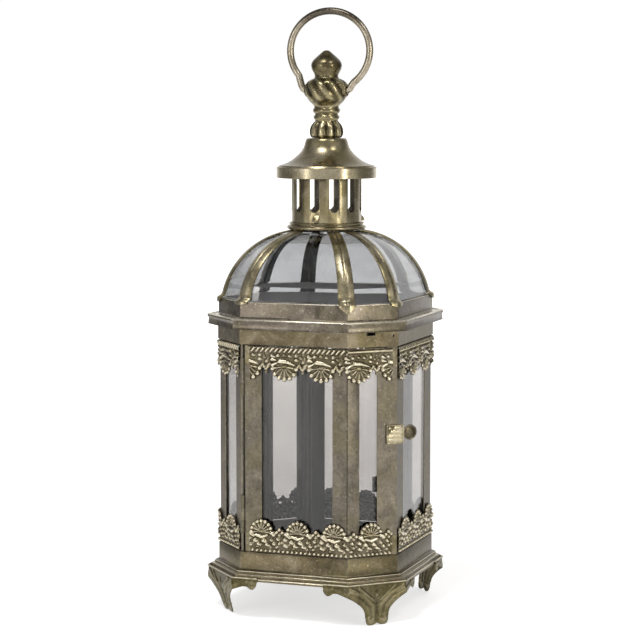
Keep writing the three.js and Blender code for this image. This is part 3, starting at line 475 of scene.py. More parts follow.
def punchWall(shape, index, slots):
    normal = wallPoint(index, 0, 1) - wallPoint(index, 0, 0)
    along = wallPoint(index, 1, 0) - wallPoint(index, 0, 0)
    for middle, height, halfWidth, halfHeight in slots:
        centre = wallPoint(index, middle, 0, height)
        for axis, reach in ((along, halfWidth), (Vector((0, 0, 1)), halfHeight)):
            for side in (-1, 1):
                panels = [face for face in shape.faces if abs(face.normal.dot(normal)) > 0.99]
                around = {item for face in panels for item in [face, *face.edges, *face.verts]}
                bmesh.ops.bisect_plane(
                    shape, geom=list(around), dist=0.001, plane_co=centre + axis * side * reach, plane_no=axis,
                )
        punched = []
        for face in shape.faces:
            offset = face.calc_center_median() - centre
            if abs(face.normal.dot(normal)) > 0.99 and abs(offset.dot(along)) < halfWidth:
                if abs(offset.z) < halfHeight and abs(offset.dot(normal)) < 3:
                    punched.append(face)
        bmesh.ops.delete(shape, geom=punched, context="FACES")
        rim = [edge for edge in shape.edges if edge.is_boundary]
        bmesh.ops.bridge_loops(shape, edges=rim)


frameShape = {"lip": 7, "foldReach": 1, "foldShade": 0.8}

for node in [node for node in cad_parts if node.startswith("post_")]:
    softenedNode(node, brassLeafTin, radius=0.35, wear=0.25)
for node in ["door_hinge_stile", "door_latch_stile", "door_top_rail", "door_bottom_rail"]:
    softenedNode(node, brassLeafTin, wear=0.18)

stile = nodeShape("door_corner_stile")
softenEdges(stile, 0.45, wear=0.1)
markInside(stile)
fold = cornerPoint(0, 0)
wear, soot = markLayer(stile.faces, "wear"), markLayer(stile.faces, "soot")
for face in stile.faces:  # a painted shade darkens the fold between the two halves, and it gets no pale edge
    if (face.calc_center_median().xy - fold.xy).length < frameShape["foldReach"]:
        face[wear], face[soot] = 0, frameShape["foldShade"]
finishPiece(stile, "door_corner_stile", "folded", brassLeafTin, recalculate=False)

low, high = levels["fasciaFoot"], levels["frameTop"]
fascia = wallSweep([(0, low), (0, high), (-sheet, high), (-sheet, low)])
bmesh.ops.recalc_face_normals(fascia, faces=fascia.faces)
punchWall(fascia, 1, fasciaSlots)
softenEdges(fascia, 0.4, wear=0.1, only=lambda edge: edge.calc_length() > 10)
markInside(fascia)
finishPiece(fascia, "fascia_band", "folded", brownLeafTin)

lip, collar, cornice, top = frameShape["lip"], levels["collarFoot"], levels["corniceFoot"], levels["collarTop"]
flange = wallSweep(
    [(-6, top - 1), (-6, top), (-1, top)]
    + arc((-0.9, top - 0.5), 0.5, 90, 0, 3)
    + [(-0.4, collar + 1)]
    + arc((0.4, collar + 0.9), 0.8, 185, 262, 3)
    + [(lip - 3.3, collar - 0.7), (lip - 3, collar - 0.6)]
    + arc((lip - 1.5, collar - 1.3), 1.5, 150, -45, 12)
    + [(lip - 0.75, collar - 3.4), (lip - 0.5, cornice + 0.6), (lip - 0.15, cornice), (lip - 1.35, cornice)]
    + [(lip - 1.85, collar - 3.4), (lip - 3.2, collar - 2.2), (0.8, collar - 1.1), (-1.4, collar - 1)]
    + [(-1.4, top - 1)]
)
softenEdges(flange, 0.7, sharpest=30, wear=0.1, segments=3, only=lambda edge: (
    (edge.verts[0].co.xy - edge.verts[1].co.xy).length < 3.5 and abs(edge.verts[0].co.z - edge.verts[1].co.z) > 0.5
))
markInside(flange)
# a painted highlight on the upward faces of the bead and of the top edge
rubUpper(flange, [(collar - 2.4, collar + 0.25, 1), (top - 0.6, top + 0.1, 0.6)])
finishPiece(flange, "top_flange", "stamped", flangeLeafTin, smooth=35)
print("frame made")

for node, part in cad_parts.items():
    if node.startswith("dome_pane_"):
        finishPiece(nodeShape(node), node, "bent", domeGlass, 30, recalculate=False)
    elif "pane" in node:
        part.data.materials.clear()
        part.data.materials.append(windowGlass)
print("glass made")

# The stamped pattern of one repeat, in millimetres: x from the shell's middle, y out from the straight edge.
# Each stroke is x0, y0, x1, y1, radius at its start and at its end, and how far it stands up.
lacePattern = {
    "pitch": 27.2, "margin": 0.5, "sheet": 0.45, "depth": 25.8, "swell": 1.25, "beadRadius": 1.2, "beadAt": 2.2,
    "tabDepth": 14, "tabSoot": 0.3, "wear": (0.95, 0.5, 0.85), "soot": (1.15, 0.75, 0.62),
}
upperLace = {
    "hangs": True, "phase": 34, "band": 12.2, "shellAt": 13.9, "ribs": 7, "spread": 160, "ribFrom": 2.4, "ribTo": 6.6,
    "rim": 8.9, "rimBoss": 1.75, "edge": [(0.9, 1.4, -0.9, 3.6, 1.1, 0.9, 1.5)], "edgePitch": 3.5,
    "strokes": [
        (-3.4, 10.2, 1.2, 10.5, 1.4, 1.2, 1.7), (1.2, 10.5, 7.4, 12.5, 1.2, 0.5, 1.6),
        (-9.4, 6.3, -7.2, 7.2, 1.2, 0.7, 1.4), (-9.3, 9.1, -6.6, 9.5, 1.2, 0.7, 1.4),
        (-5, 6.3, -4.6, 6.3, 1.15, 1.1, 1.4), (-0.8, 6, 0.2, 6.3, 0.9, 0.9, 1.1), (3.6, 6.3, 4.4, 6.6, 1.1, 0.9, 1.3),
        (8.8, 6, 8.8, 6.2, 1.3, 1.2, 1.4), (8.2, 9.2, 9.4, 9.4, 1, 1, 1.3), (11.8, 7.4, 12.4, 8, 0.9, 0.8, 1.1),
        (13.8, 10.4, 13.8, 10.6, 1.1, 1.1, 1.3), (-8.8, 12.9, -5.2, 11.2, 1.2, 0.6, 1.5),
        (-8.6, 15.4, -7.2, 15, 1.2, 0.9, 1.4), (-12.2, 13.2, -10.6, 12, 1.1, 0.7, 1.2),
        (11, 12.6, 9.4, 14.4, 1, 0.6, 1.2), (12, 14.2, 13.6, 16, 0.9, 0.8, 1.3),
        (15.2, 14.2, 13.6, 16, 0.9, 0.8, 1.3), (13.6, 17.8, 13.6, 18, 0.9, 0.8, 1.2),
        (13.6, 4.9, 13.6, 5.1, 0.8, 0.8, 1), (-12.4, 8, -12.4, 9, 0.7, 0.6, 0.9),
    ],
}
lowerLace = {
    "hangs": False, "phase": 16.4, "band": 12.6, "shellAt": 15.2, "ribs": 9, "spread": 190, "ribFrom": 2.2,
    "ribTo": 5.4, "rim": 7.5, "rimBoss": 1.5, "edge": [(0, 1.7, 0, 1.7, 1.25, 1.25, 1.6)], "edgePitch": 3.3,
    "strokes": [
        (-4.2, 12.6, 0, 11.3, 0.9, 1.2, 1.5), (0, 11.3, 4.2, 12.6, 1.2, 0.9, 1.5),
        (-8.6, 14.3, -5.6, 12, 1.4, 1, 1.7), (9.4, 13.5, 8.6, 14.6, 1.5, 1, 1.7),
        (-9.4, 10.4, -8.8, 10, 1.4, 1.3, 1.5), (-4.6, 8.9, -3.6, 8.3, 1.5, 1.1, 1.6),
        (-2.2, 6.4, -0.4, 5.7, 1.2, 0.9, 1.5), (1.8, 8.8, 3, 8.2, 1.5, 1.1, 1.6), (4.2, 6.2, 6, 5.5, 1.3, 0.9, 1.5),
        (7.4, 9.6, 7.8, 9.2, 1.2, 1, 1.3), (9.4, 7, 9.8, 6.6, 1.3, 1.1, 1.4), (-9.4, 6.2, -7.6, 5.4, 1.3, 1, 1.5),
        (-6.4, 7, -6, 6.8, 0.8, 0.8, 1.1), (12.4, 10.6, 12.9, 10, 1.2, 1, 1.4), (13.6, 7.4, 13.6, 7.2, 1.1, 1.1, 1.3),
        (-11.6, 8.2, -11.4, 8, 1, 1, 1.2), (0.2, 8.9, 0.2, 9, 0.6, 0.6, 1), (11.4, 4.6, 12.4, 4.8, 1, 0.9, 1.2),
        (11.4, 15, 11.6, 15.2, 1.1, 1, 1.5), (13.6, 17, 13.6, 17.2, 1.2, 1.1, 1.6),
        (15.8, 15.2, 15.6, 15, 1.1, 1, 1.5), (13.6, 13.2, 13.6, 13.6, 1.1, 1, 1.3),
        (-3.2, 4.4, -2.6, 4.3, 0.8, 0.8, 1.1), (6.8, 3.9, 7.4, 4, 0.8, 0.8, 1.1),
    ],
}


def laceStrokes(pattern):
    swell, shellAt, boss = lacePattern["swell"], pattern["shellAt"], pattern["rimBoss"]
    strokes = [(*line, start * swell, end * swell, rise) for *line, start, end, rise in pattern["strokes"]]
    for rib in range(pattern["ribs"]):
        angle = math.radians(90 + pattern["spread"] * (rib / (pattern["ribs"] - 1) - 0.5))
        near, far, tip = [
            (reach * math.cos(angle), shellAt + reach * math.sin(angle))
            for reach in (pattern["ribFrom"], pattern["ribTo"], pattern["rim"])
        ]
        strokes += [(*near, *far, 0.45, 0.8, 1.2), (*tip, *tip, boss, boss, 1.7)]
    return strokes + [(-1, shellAt, 1, shellAt, 1.3, 1.3, 0.9)]


def roundTop(offset):  # height of a half circle at each share of the way from its middle to its side
    return np.sqrt(np.clip(1 - offset ** 2, 0, 1))


def strokeField(x, y, strokes, repeat):  # the height of the highest stroke, and the distance to the nearest one
    height = np.zeros_like(x)
    nearest = np.full_like(x, 99.0)
    for x0, y0, x1, y1, startRadius, endRadius, rise in strokes:
        middle = (x0 + x1) / 2
        across = x - middle
        if repeat:
            across = across - repeat * np.round(across / repeat)
        dx, dy = x1 - x0, y1 - y0
        length = max(dx * dx + dy * dy, 1e-9)
        fromStart = across + middle - x0
        share = np.clip((fromStart * dx + (y - y0) * dy) / length, 0, 1)
        distance = np.hypot(fromStart - share * dx, y - y0 - share * dy)
        radius = startRadius + (endRadius - startRadius) * share
        height = np.maximum(height, rise * roundTop(distance / radius))
        nearest = np.minimum(nearest, distance - radius)
    return height, nearest


def wrapOnWalls(along, out, faces, laidAt=0.0):  # plan points of a strip that was laid over several walls
    x, y = np.zeros_like(along), np.zeros_like(along)
    start = 0
    ease = 3  # the strip stretches or squeezes over the last millimetres before a fold
    for order, index in enumerate(faces):
        turn, half, distance = wallFace(index)
        half += laidAt * mitre
        here = (along <= start + 2 * half) | (order == len(faces) - 1)
        if order > 0:
            here &= along >= start
        local = along - start - half
        nearCorner = np.clip((np.abs(local) - half + ease) / ease, 0, 1.2)
        local = local + np.sign(local) * nearCorner * (out - laidAt) * mitre
        reach = distance + out
        x = np.where(here, math.cos(turn) * reach - math.sin(turn) * local, x)
        y = np.where(here, math.sin(turn) * reach + math.cos(turn) * local, y)
        start += 2 * half
    return x, y


def reliefGrid(length, depth, cell):
    shape = bmesh.new()
    bmesh.ops.create_grid(
        shape, x_segments=max(2, round(length / cell)), y_segments=max(2, round(depth / cell)), size=0.5,
    )
    bmesh.ops.scale(shape, vec=(length, depth, 1), verts=shape.verts)
    bmesh.ops.translate(shape, vec=(length / 2, depth / 2, 0), verts=shape.verts)
    return shape


def flatPlaces(shape, left=0.0, foot=0.0):  # where the points of a flat grid lie, moved to its place
    return [np.array([vert.co[axis] for vert in shape.verts]) + start for axis, start in ((0, left), (1, foot))]


def placeRelief(shape, keep, height, wear, soot, mapping):
    layers = [shape.verts.layers.float.new(name) for name in ("wear", "soot", "relief")]
    for vert, *values in zip(shape.verts, wear, soot, height):
        for layer, value in zip(layers, values):
            vert[layer] = value
    cells = [face for face in shape.faces if not all(keep[vert.index] for vert in face.verts)]
    bmesh.ops.delete(shape, geom=cells, context="FACES")
    for _ in range(4):
        rim = [vert for vert in shape.verts if vert.is_boundary]
        bmesh.ops.smooth_vert(shape, verts=rim, factor=0.5, use_axis_x=True, use_axis_y=True, use_axis_z=False)
    along, across = flatPlaces(shape)
    rise = np.array([vert[layers[-1]] for vert in shape.verts])
    for vert, place in zip(shape.verts, mapping(along, across, rise)):
        vert.co = place
    shape.verts.layers.float.remove(layers[-1])


def giveWall(piece, thickness, back=None):
    wall = piece.modifiers.new("wall", "SOLIDIFY")
    wall.thickness = thickness * metresPerMm
    wall.offset = -1
    wall.use_rim = True
    if back:
        piece.data.materials.append(back)
        wall.material_offset = 1


def laceTrim(node, run, pattern, edge):
    size = lacePattern
    start, end = run["span"]
    shape = reliefGrid(end - start, size["depth"], run["cell"])
    along, across = flatPlaces(shape, start)
    inside = (along > run["lace"][0]) & (along < run["lace"][1])
    fromPhase = along - pattern["phase"]
    height, nearest = strokeField(fromPhase, across, laceStrokes(pattern), size["pitch"])
    edgeHeight, _ = strokeField(along, across, pattern["edge"], pattern["edgePitch"])
    if pattern["hangs"] and "plainFrom" in run:  # on the door's narrow face the upper edge is a plain rounded bead
        plain = size["beadRadius"] * roundTop((across - size["beadAt"]) / size["beadRadius"])
        edgeHeight = np.where(along > run["plainFrom"], plain, edgeHeight)
    height = np.where(inside, np.maximum(height, edgeHeight), 0)
    fromShell = fromPhase - size["pitch"] * np.round(fromPhase / size["pitch"])
    shellReach = np.hypot(fromShell, across - pattern["shellAt"])
    inShell = (shellReach < pattern["rim"]) & (across > pattern["shellAt"] - 2)
    tab = ~inside & (across < size["tabDepth"])
    lace = (across < pattern["band"]) | (nearest < size["margin"]) | inShell
    wearHighlightFrom, wearHighlightOver, wearHighlightMost = size["wear"]
    sootShadeFrom, sootShadeOver, sootShadeMost = size["soot"]
    # pale on the high bosses, partly wear and partly painted highlight; dark in the low hollows, partly patina and
    # partly painted shade
    wear = np.where(tab, 0, np.clip((height - wearHighlightFrom) / wearHighlightOver, 0, 1) * wearHighlightMost)
    soot = np.where(inside, np.clip(sootShadeFrom - height / sootShadeOver, 0, 1) * sootShadeMost, size["tabSoot"])
    direction = -1 if pattern["hangs"] else 1

    def mapping(u, v, rise):
        x, y = wrapOnWalls(u + start, run["out"] + size["sheet"] + rise, run["faces"])
        return [Vector(place) for place in zip(x, y, edge + direction * v)]

    placeRelief(shape, (inside & lace) | tab, height, wear, soot, mapping)
    if pattern["hangs"]:
        bmesh.ops.reverse_faces(shape, faces=shape.faces)
    piece = finishPiece(shape, node, "stamped", stampedBrassLeaf, 180, recalculate=False)
    giveWall(piece, size["sheet"], back=bareTinBackPaintedLight)


# Strips laid over the faces of the door and of the body. The lace starts and ends inside two plain end tabs.
bodyFaces = [2, 3, 4, 5, 6, 7]
bodyRun = sum(2 * wallFace(index)[1] for index in bodyFaces)
laceRuns = {
    "door": {
        "faces": [0, 1], "span": (4.2, 118.2), "lace": (7.8, 114.4), "out": 0.3, "cell": 0.34, "plainFrom": 80,
        "upperEdge": 193.8, "lowerEdge": 47.5,
    },
    "body": {
        "faces": bodyFaces, "span": (1.5, bodyRun - 1.5), "lace": (1, bodyRun - 1), "out": -1, "cell": 0.5,
        "upperEdge": 194, "lowerEdge": 47.3,
    },
}
for holder, run in laceRuns.items():
    laceTrim(holder + "_upper_lace", run, upperLace, run["upperEdge"])
    laceTrim(holder + "_lower_lace", run, lowerLace, run["lowerEdge"])
print("lace made")

# The arc of the dome in the plane of a rib, and the angles that a rib runs between
domeArc = {"centre": 19.96, "height": 214, "radius": 57.8, "first": 13.5, "last": 86, "steps": 28}
ribSize = {
    "half": 6.6, "topHalf": 4.4, "sheet": 0.9, "lapRadius": 79.9, "lapTop": 224.3, "groove": 0.6, "swell": 0.14,
    "tips": [217.6, 220.8, 220.8, 220.8, 220.8, 220.8, 220.8, 221.6], "tipSides": 222.8, "wear": 0.1, "ridgeWearAndHighlight": 0.35,
}
# Across one leg of a rib from the crease to its edge: share of the leg, share of the groove, share of the swell
ribLine = [
    (0, -1, 0), (0.06, -0.55, 0), (0.13, 0, 0.25), (0.35, 0, 0.85), (0.6, 0, 1), (0.85, 0, 0.7), (0.96, 0, 0.2),
    (1, 0, -0.6),
]


def ribSection(before, half, tilt):
    legs = []
    for turn, side in ((before, -1), (before + math.radians(45), 1)):
        normal = Vector((math.cos(turn), math.sin(turn) * math.cos(tilt))).normalized()
        along = Vector((-normal.y, normal.x)) * side
        legs.append([
            (along * half * share + normal * (groove * ribSize["groove"] + swell * ribSize["swell"]), normal, share)
            for share, groove, swell in ribLine
        ])
    line = list(reversed(legs[0])) + legs[1][1:]
    outer = [(place, share) for place, _, share in line]
    inner = [(place - normal * ribSize["sheet"], share) for place, normal, share in reversed(line)]
    return outer + inner


def buildRib(index):
    corner = cornerPoint(index, 0)
    heading = math.atan2(corner.y, corner.x)
    before = math.remainder(wallFace(index)[0] - heading, 2 * math.pi)
    lap, top, tip = ribSize["lapRadius"], ribSize["lapTop"], ribSize["tips"][index]
    # Radius, height and tilt of each section, from the tip that laps over the flange up to the crown
    stations = [(lap, tip, 0), (lap, top - 0.6, 0), (lap - 0.5, top + 0.5, 0.1), (77.3, top + 1.7, 0.2)]
    for step in range(domeArc["steps"] + 1):
        tilt = math.radians(domeArc["first"] + (domeArc["last"] - domeArc["first"]) * step / domeArc["steps"])
        stations.append((
            domeArc["centre"] + domeArc["radius"] * math.cos(tilt),
            domeArc["height"] + domeArc["radius"] * math.sin(tilt), tilt,
        ))
    rings = []
    for order, (radius, z, tilt) in enumerate(stations):
        half = ribSize["half"] + (ribSize["topHalf"] - ribSize["half"]) * order / (len(stations) - 1)
        ring = []
        for place, share in ribSection(before, half, tilt):
            rise = (ribSize["tipSides"] - tip) * share if order == 0 else 0
            ring.append(Vector((
                radius + math.cos(tilt) * place.x, place.y, z + math.sin(tilt) * place.x + rise,
            )))
        rings.append(ring)
    shape = sweepRings(rings)
    bmesh.ops.rotate(shape, cent=(0, 0, 0), matrix=Matrix.Rotation(heading, 3, "Z"), verts=shape.verts)
    markInside(shape)
    wear = markLayer(shape.verts, "wear")
    crease = len(ribLine) - 1
    for vert in shape.verts:  # pale on the ridge at each side of the crease, as wear and painted highlight
        fromCrease = abs(vert.index % len(rings[0]) - crease)
        vert[wear] = ribSize["ridgeWearAndHighlight"] if fromCrease in (2, 3) else ribSize["wear"]
    finishPiece(shape, f"dome_rib_{index + 1}", "bent", ribBrassLeaf, smooth=50)


for index in range(8):
    buildRib(index)
print("dome made")

upper = {
    "crownFoot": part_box("crown_ring")[0].z / metresPerMm,
    "capFoot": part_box("cap")[0].z / metresPerMm,
    "finialFoot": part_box("finial")[0].z / metresPerMm,
}
crownSize = {"bore": 25.4, "rim": 28.5, "steps": 96}
# The bell of the cap is given as the share of the way out from the neck, and of the way up from the shoulder
capSize = {
    "high": 28.2, "rim": 36, "neck": 14.4, "shoulder": 8.9, "hole": 2.2, "steps": 120, "skirtTop": 7.4, "wear": 0.22,
    "bell": [
        (1, 0), (0.82, 0.05), (0.67, 0.12), (0.55, 0.19), (0.45, 0.27), (0.34, 0.36), (0.25, 0.45), (0.17, 0.55),
        (0.1, 0.67), (0.06, 0.8), (0.03, 0.92), (0, 0.985),
    ],
}

foot, bore, rim = upper["crownFoot"], crownSize["bore"], crownSize["rim"]
profile = (
    [(bore, foot), (rim - 1.2, foot)]
    + arc((rim - 1.3, foot + 1.5), 1.3, -70, 70, 6)
    + [(rim - 2.3, foot + 3.2), (rim - 2.3, foot + 3.6)]
    + arc((rim - 2, foot + 4.4), 0.55, -90, 90, 4)
    + [(bore, foot + 5), (bore, foot)]
)
finishPiece(turnedShape(profile, crownSize["steps"]), "crown_ring", "rolled", spunBrassLeaf, 40)

foot, high, rim, neck, hole = upper["capFoot"], *[capSize[name] for name in ("high", "rim", "neck", "hole")]
shoulder = capSize["shoulder"]
run, rise = rim - 2 - neck, high - shoulder
outer = [(rim - 0.3, 0), (rim, 0.3), (rim, 6.9)] + arc((rim - 0.7, 7.2), 0.7, 0, 80, 3)
outer += [(rim - 1.4, 7.9), (rim - 1.7, 8.4)]
outer += [(neck + run * out, shoulder + rise * up) for out, up in capSize["bell"]]
outer += [(neck - 0.5, high), (hole, high)]
inner = [(hole, high - 1), (neck - 1, high - 1.1)]
inner += [(neck - 1 + run * out, shoulder - 1 + rise * up) for out, up in reversed(capSize["bell"][:-1])]
inner += [(rim - 1.2, 7), (rim - 1, 6), (rim - 1, 0)]
profile = [(radius, foot + height) for radius, height in outer + inner]
cap = turnedShape(profile + profile[:1], capSize["steps"])
wear = markLayer(cap.faces, "wear")
for face in cap.faces:  # the rolled skirt is made pale as a painted highlight
    middle = face.calc_center_median()
    if middle.z < foot + capSize["skirtTop"] and middle.xy.length > rim - 1.2:
        face[wear] = capSize["wear"]
finishPiece(cap, "cap", "spun", spunBrassLeaf, 40)

softenedNode("chimney", spunBrassLeaf, radius=0.25, wear=0.4, smooth=30)
print("crown, chimney and cap made")

# Line of the finial as [radius, height above its foot], from the hole for its stud up to the tip
finialLine = [
    (0, 9.9), (2.3, 9.9),
    (2.3, 0), (10.2, 0), (11.2, 0.7), (11.9, 2), (12.2, 3.8), (12, 6), (11.2, 8.4), (10, 10.2), (8.8, 11.4),
    (8.3, 12.1), (8.4, 12.7), (9, 13.5), (9.3, 14.6), (9, 15.6), (8.3, 16.3), (8.3, 17.2), (9.2, 17.8), (9.7, 18.8),
    (9.7, 20.2), (9, 21.1), (8.8, 22), (9.3, 23), (10.2, 23.9), (11.6, 25.3), (12.8, 26.6), (13.8, 28), (14.6, 29.8),
    (15.1, 31.8), (15.3, 33.6), (15.3, 35.6), (15, 37.4), (14.2, 39.2), (12.8, 40.6), (10.9, 41.6), (9.2, 42.2),
    (8.5, 43), (8.4, 44.2), (8.9, 45.6), (9.8, 47.2), (10.7, 49), (11.1, 51.2), (10.8, 53), (9.9, 54.7), (8.7, 56),
    (7.1, 57.5), (5.3, 59), (3.9, 60.2), (2.6, 61.4), (1.3, 62), (0, 62.2),
]
# Petals round the lower bulb and, higher up, lobes wound round it like a turban
finialSize = {
    "steps": 144, "count": 10, "petalTop": 11.6, "petalRun": 12, "petalDepth": 1.9, "lobeFoot": 26.5, "lobeRun": 15.9,
    "lobeDepth": 1.7, "twist": 0.055, "lobeWear": 0.55, "waistTop": 24, "pivotRise": 33.8, "core": 5,
    "boss": [(3.3, 9.5), (3.3, 15.2), (3.7, 15.6), (4.3, 15.6), (4.8, 15.1), (4.8, 9.5), (3.3, 9.5)],
}

size, foot = finialSize, upper["finialFoot"]
shape = turnedShape([(radius, foot + z) for radius, z in finialLine], size["steps"])
wear, soot = markLayer(shape.verts, "wear"), markLayer(shape.verts, "soot")
# Crests of petals and lobes are made pale, partly wear and partly painted highlight, and the grooves dark, partly
# patina and partly painted shade. The smooth parts are a little paler below the waist and a little darker above it.
for vert in shape.verts:
    radius = math.hypot(vert.co.x, vert.co.y)
    if radius < size["core"]:
        continue
    z = vert.co.z - foot
    lobeRise = z - size["lobeFoot"]
    if z < size["petalTop"]:
        twist, rubbed = 0, 1
        depth = size["petalDepth"] * math.sin(math.pi * min(max(z, 0) / size["petalRun"], 1)) ** 0.6
    elif 0 < lobeRise < size["lobeRun"]:
        twist, rubbed = lobeRise * size["twist"], size["lobeWear"]
        depth = size["lobeDepth"] * math.sin(math.pi * (lobeRise / size["lobeRun"]) ** 1.4) ** 0.8
    else:
        vert[wear], vert[soot] = (0.25, 0) if z < size["waistTop"] else (0, 0.2)
        continue
    wave = abs(math.sin(size["count"] * (math.atan2(vert.co.y, vert.co.x) + twist) / 2)) ** 0.8
    shrink = (radius - depth * (1 - wave)) / radius
    vert.co.x *= shrink
    vert.co.y *= shrink
    vert[wear] = rubbed * max(wave - 0.75, 0) / 0.25
    vert[soot] = 0.8 * (1 - wave)
for side in (-1, 1):  # hollow bosses that hold the ends of the ring
    boss = turnedShape(size["boss"], 32)
    bmesh.ops.rotate(boss, cent=(0, 0, 0), matrix=Matrix.Rotation(side * math.pi / 2, 3, "Y"), verts=boss.verts)
    bmesh.ops.translate(boss, vec=(0, 0, foot + size["pivotRise"]), verts=boss.verts)
    part = toMesh(boss, "boss")
    shape.from_mesh(part)
    bpy.data.meshes.remove(part)
finishPiece(shape, "finial", "cast", castBrassLeaf, smooth=50)

# The ring is an oval of round wire, standing a little to the right, with its ends turned in to the bosses.
# The knees lead from a boss out to the oval: distance from the middle, and height above the bosses.
ringSize = {
    "halfWidth": 30, "halfHeight": 28.1, "shift": 2.5, "rise": 61.8, "endReach": 21, "wire": 2.55, "steps": 96,
    "sides": 20, "knees": [(11.9, 0), (13.9, 0), (16.2, 0.1), (17.6, 1), (18.9, 3.3)],
}

size = ringSize
centre = upper["finialFoot"] + size["rise"]
pivot = upper["finialFoot"] + finialSize["pivotRise"]
start = -math.acos((size["endReach"] - size["shift"]) / size["halfWidth"])
end = 2 * math.pi - math.acos((-size["endReach"] - size["shift"]) / size["halfWidth"])
path = [Vector((x, 0, pivot + z)) for x, z in size["knees"]]
for step in range(size["steps"] + 1):
    angle = start + (end - start) * step / size["steps"]
    path.append(Vector((
        size["shift"] + size["halfWidth"] * math.cos(angle), 0, centre + size["halfHeight"] * math.sin(angle),
    )))
path += [Vector((-x, 0, pivot + z)) for x, z in reversed(size["knees"])]
turns = [2 * math.pi * side / size["sides"] for side in range(size["sides"])]
axis = Vector((0, 1, 0))
rings = []
for order, place in enumerate(path):
    onward = (path[min(order + 1, len(path) - 1)] - path[max(order - 1, 0)]).normalized()
    outward = axis.cross(onward)
    rings.append([place + (outward * math.cos(turn) + axis * math.sin(turn)) * size["wire"] for turn in turns])
wire = sweepRings(rings)
wear, soot = markLayer(wire.verts, "wear"), markLayer(wire.verts, "soot")
for vert in wire.verts:  # the top is darkened as painted shade and the sides made pale as painted highlight
    rise = (vert.co.z - centre) / size["halfHeight"]
    vert[soot] = 0.8 * min(max((rise - 0.55) / 0.35, 0), 1)
    vert[wear] = 0.4 * min(max((0.8 - rise) / 0.3, 0), 1)
finishPiece(wire, "ring_handle", "bent", wireBrassLeaf, 60)

softenedNode("finial_stud", darkSteel, radius=0.2)
print("finial and ring made")

for node in ["hinge_upper", "hinge_lower"]:
    softenedNode(node, darkSteel, radius=0.25, wear=0.5, smooth=40)
for node in ["door_clip_upper", "door_clip_lower"]:
    softenedNode(node, darkSteel, radius=0.25)

# The pull: a square plate soldered on the latch stile, with a round finger that reaches past the corner.
# The finger is given as its middle along the wall, its height and its radius. A rim is given as the distance of
# its middle from the edge, half its width, and how far it stands up.
pullSize = {
    "left": 9.8, "right": 23.8, "foot": 125.6, "top": 139.5, "finger": (28.2, 133.4, 5.7), "back": 0.3, "sheet": 0.5,
    "cell": 0.3, "fingerRim": (0.9, 0.8, 0.65), "plateRim": (0.6, 0.6, 0.45),
}
pullStrokes = [
    (12.6, 128.4, 21, 128.4, 2.2, 2.2, 0.6), (12.6, 131, 21, 131, 2.2, 2.2, 0.6), (14.4, 134, 21, 134, 2.2, 2.2, 0.6),
    (17, 136.6, 21, 136.6, 2, 2, 0.6), (12.2, 136.8, 13.6, 137.2, 1, 0.8, 0.5),
    (28, 133.4, 28.4, 133.4, 3.6, 3.6, 0.4),
]

size = pullSize
centre, level, reach = size["finger"]
shape = reliefGrid(centre + reach - size["left"], size["top"] - size["foot"], size["cell"])
along, across = flatPlaces(shape, size["left"], size["foot"])
fromFinger = np.hypot(along - centre, across - level)
finger = (fromFinger < reach) & (along > size["right"] - 1)
plate = along < size["right"]
height, _ = strokeField(along, across, pullStrokes, 0)
inset, halfWidth, rise = size["fingerRim"]
rim = rise * roundTop((fromFinger - reach + inset) / halfWidth)
edge = np.minimum(np.minimum(along - size["left"], size["right"] - along), np.minimum(
    across - size["foot"], size["top"] - across,
))
inset, halfWidth, rise = size["plateRim"]
rim = np.where(plate, rise * roundTop((edge - inset) / halfWidth), rim)
height = np.maximum(height, rim)
# The ribs of the plate are made pale, partly wear and partly painted highlight; the low ground is darkened as painted
# shade, the seam is a dark joint, and the finger is darkened as painted shade, more towards its far edge
seam = np.clip(1 - np.abs(along - size["right"] - 0.2) / 0.7, 0, 1)
wear = np.clip((height - 0.3) / 0.3, 0, 1) * np.where(plate, 0.35, 0.1)
soot = np.maximum(np.clip(1 - height / 0.35, 0, 1) * 0.55, seam * 0.9)
soot = np.maximum(soot, np.where(plate, 0, 0.75 + 0.2 * np.clip((along - centre) / reach, 0, 1)))


def mapping(u, v, rise):
    out = size["back"] + size["sheet"] + rise
    return [wallPoint(1, x + size["left"], o, z + size["foot"]) for x, o, z in zip(u, out, v)]


placeRelief(shape, plate | finger, height, wear, soot, mapping)
piece = finishPiece(shape, "door_pull", "stamped", stampedBrassLeaf, 180)
giveWall(piece, size["sheet"])
print("hardware made")

# A foot drawn flat: distance from the middle of the corner wall, and height. Both halves are alike.
# Each foot leans in by so many millimetres at its tip.
footSize = {
    "top": 30.6, "knee": 21, "out": 7.05, "sheet": 0.6, "laidAt": 7.9, "reach": 42.1, "cell": 0.48, "rubbedFrom": 29.2,
    "leans": {"foot_front_right": 0.6, "foot_back_right": 4, "foot_back_left": 4, "foot_front_left": 7},
}
footEdge = [
    (0, 1.2), (1.2, 0.7), (2.4, 0.1), (4.6, 0), (6.6, 0.1), (7.8, 0.7), (8.7, 1.9), (9.2, 3.6), (9.1, 5.4),
    (9.2, 7.4), (9.8, 9.6), (10.8, 11.6), (13, 14), (16, 16.6), (19.4, 18.8), (23.1, 20.7), (27.2, 22), (31.2, 23.4),
    (33.6, 23.3), (35.3, 22.3), (36.6, 21.4), (38, 21.1), (39.4, 21.5), (40.8, 22.7), (41.7, 24.4), (42.1, 26.6),
    (42.1, 30.6),
]
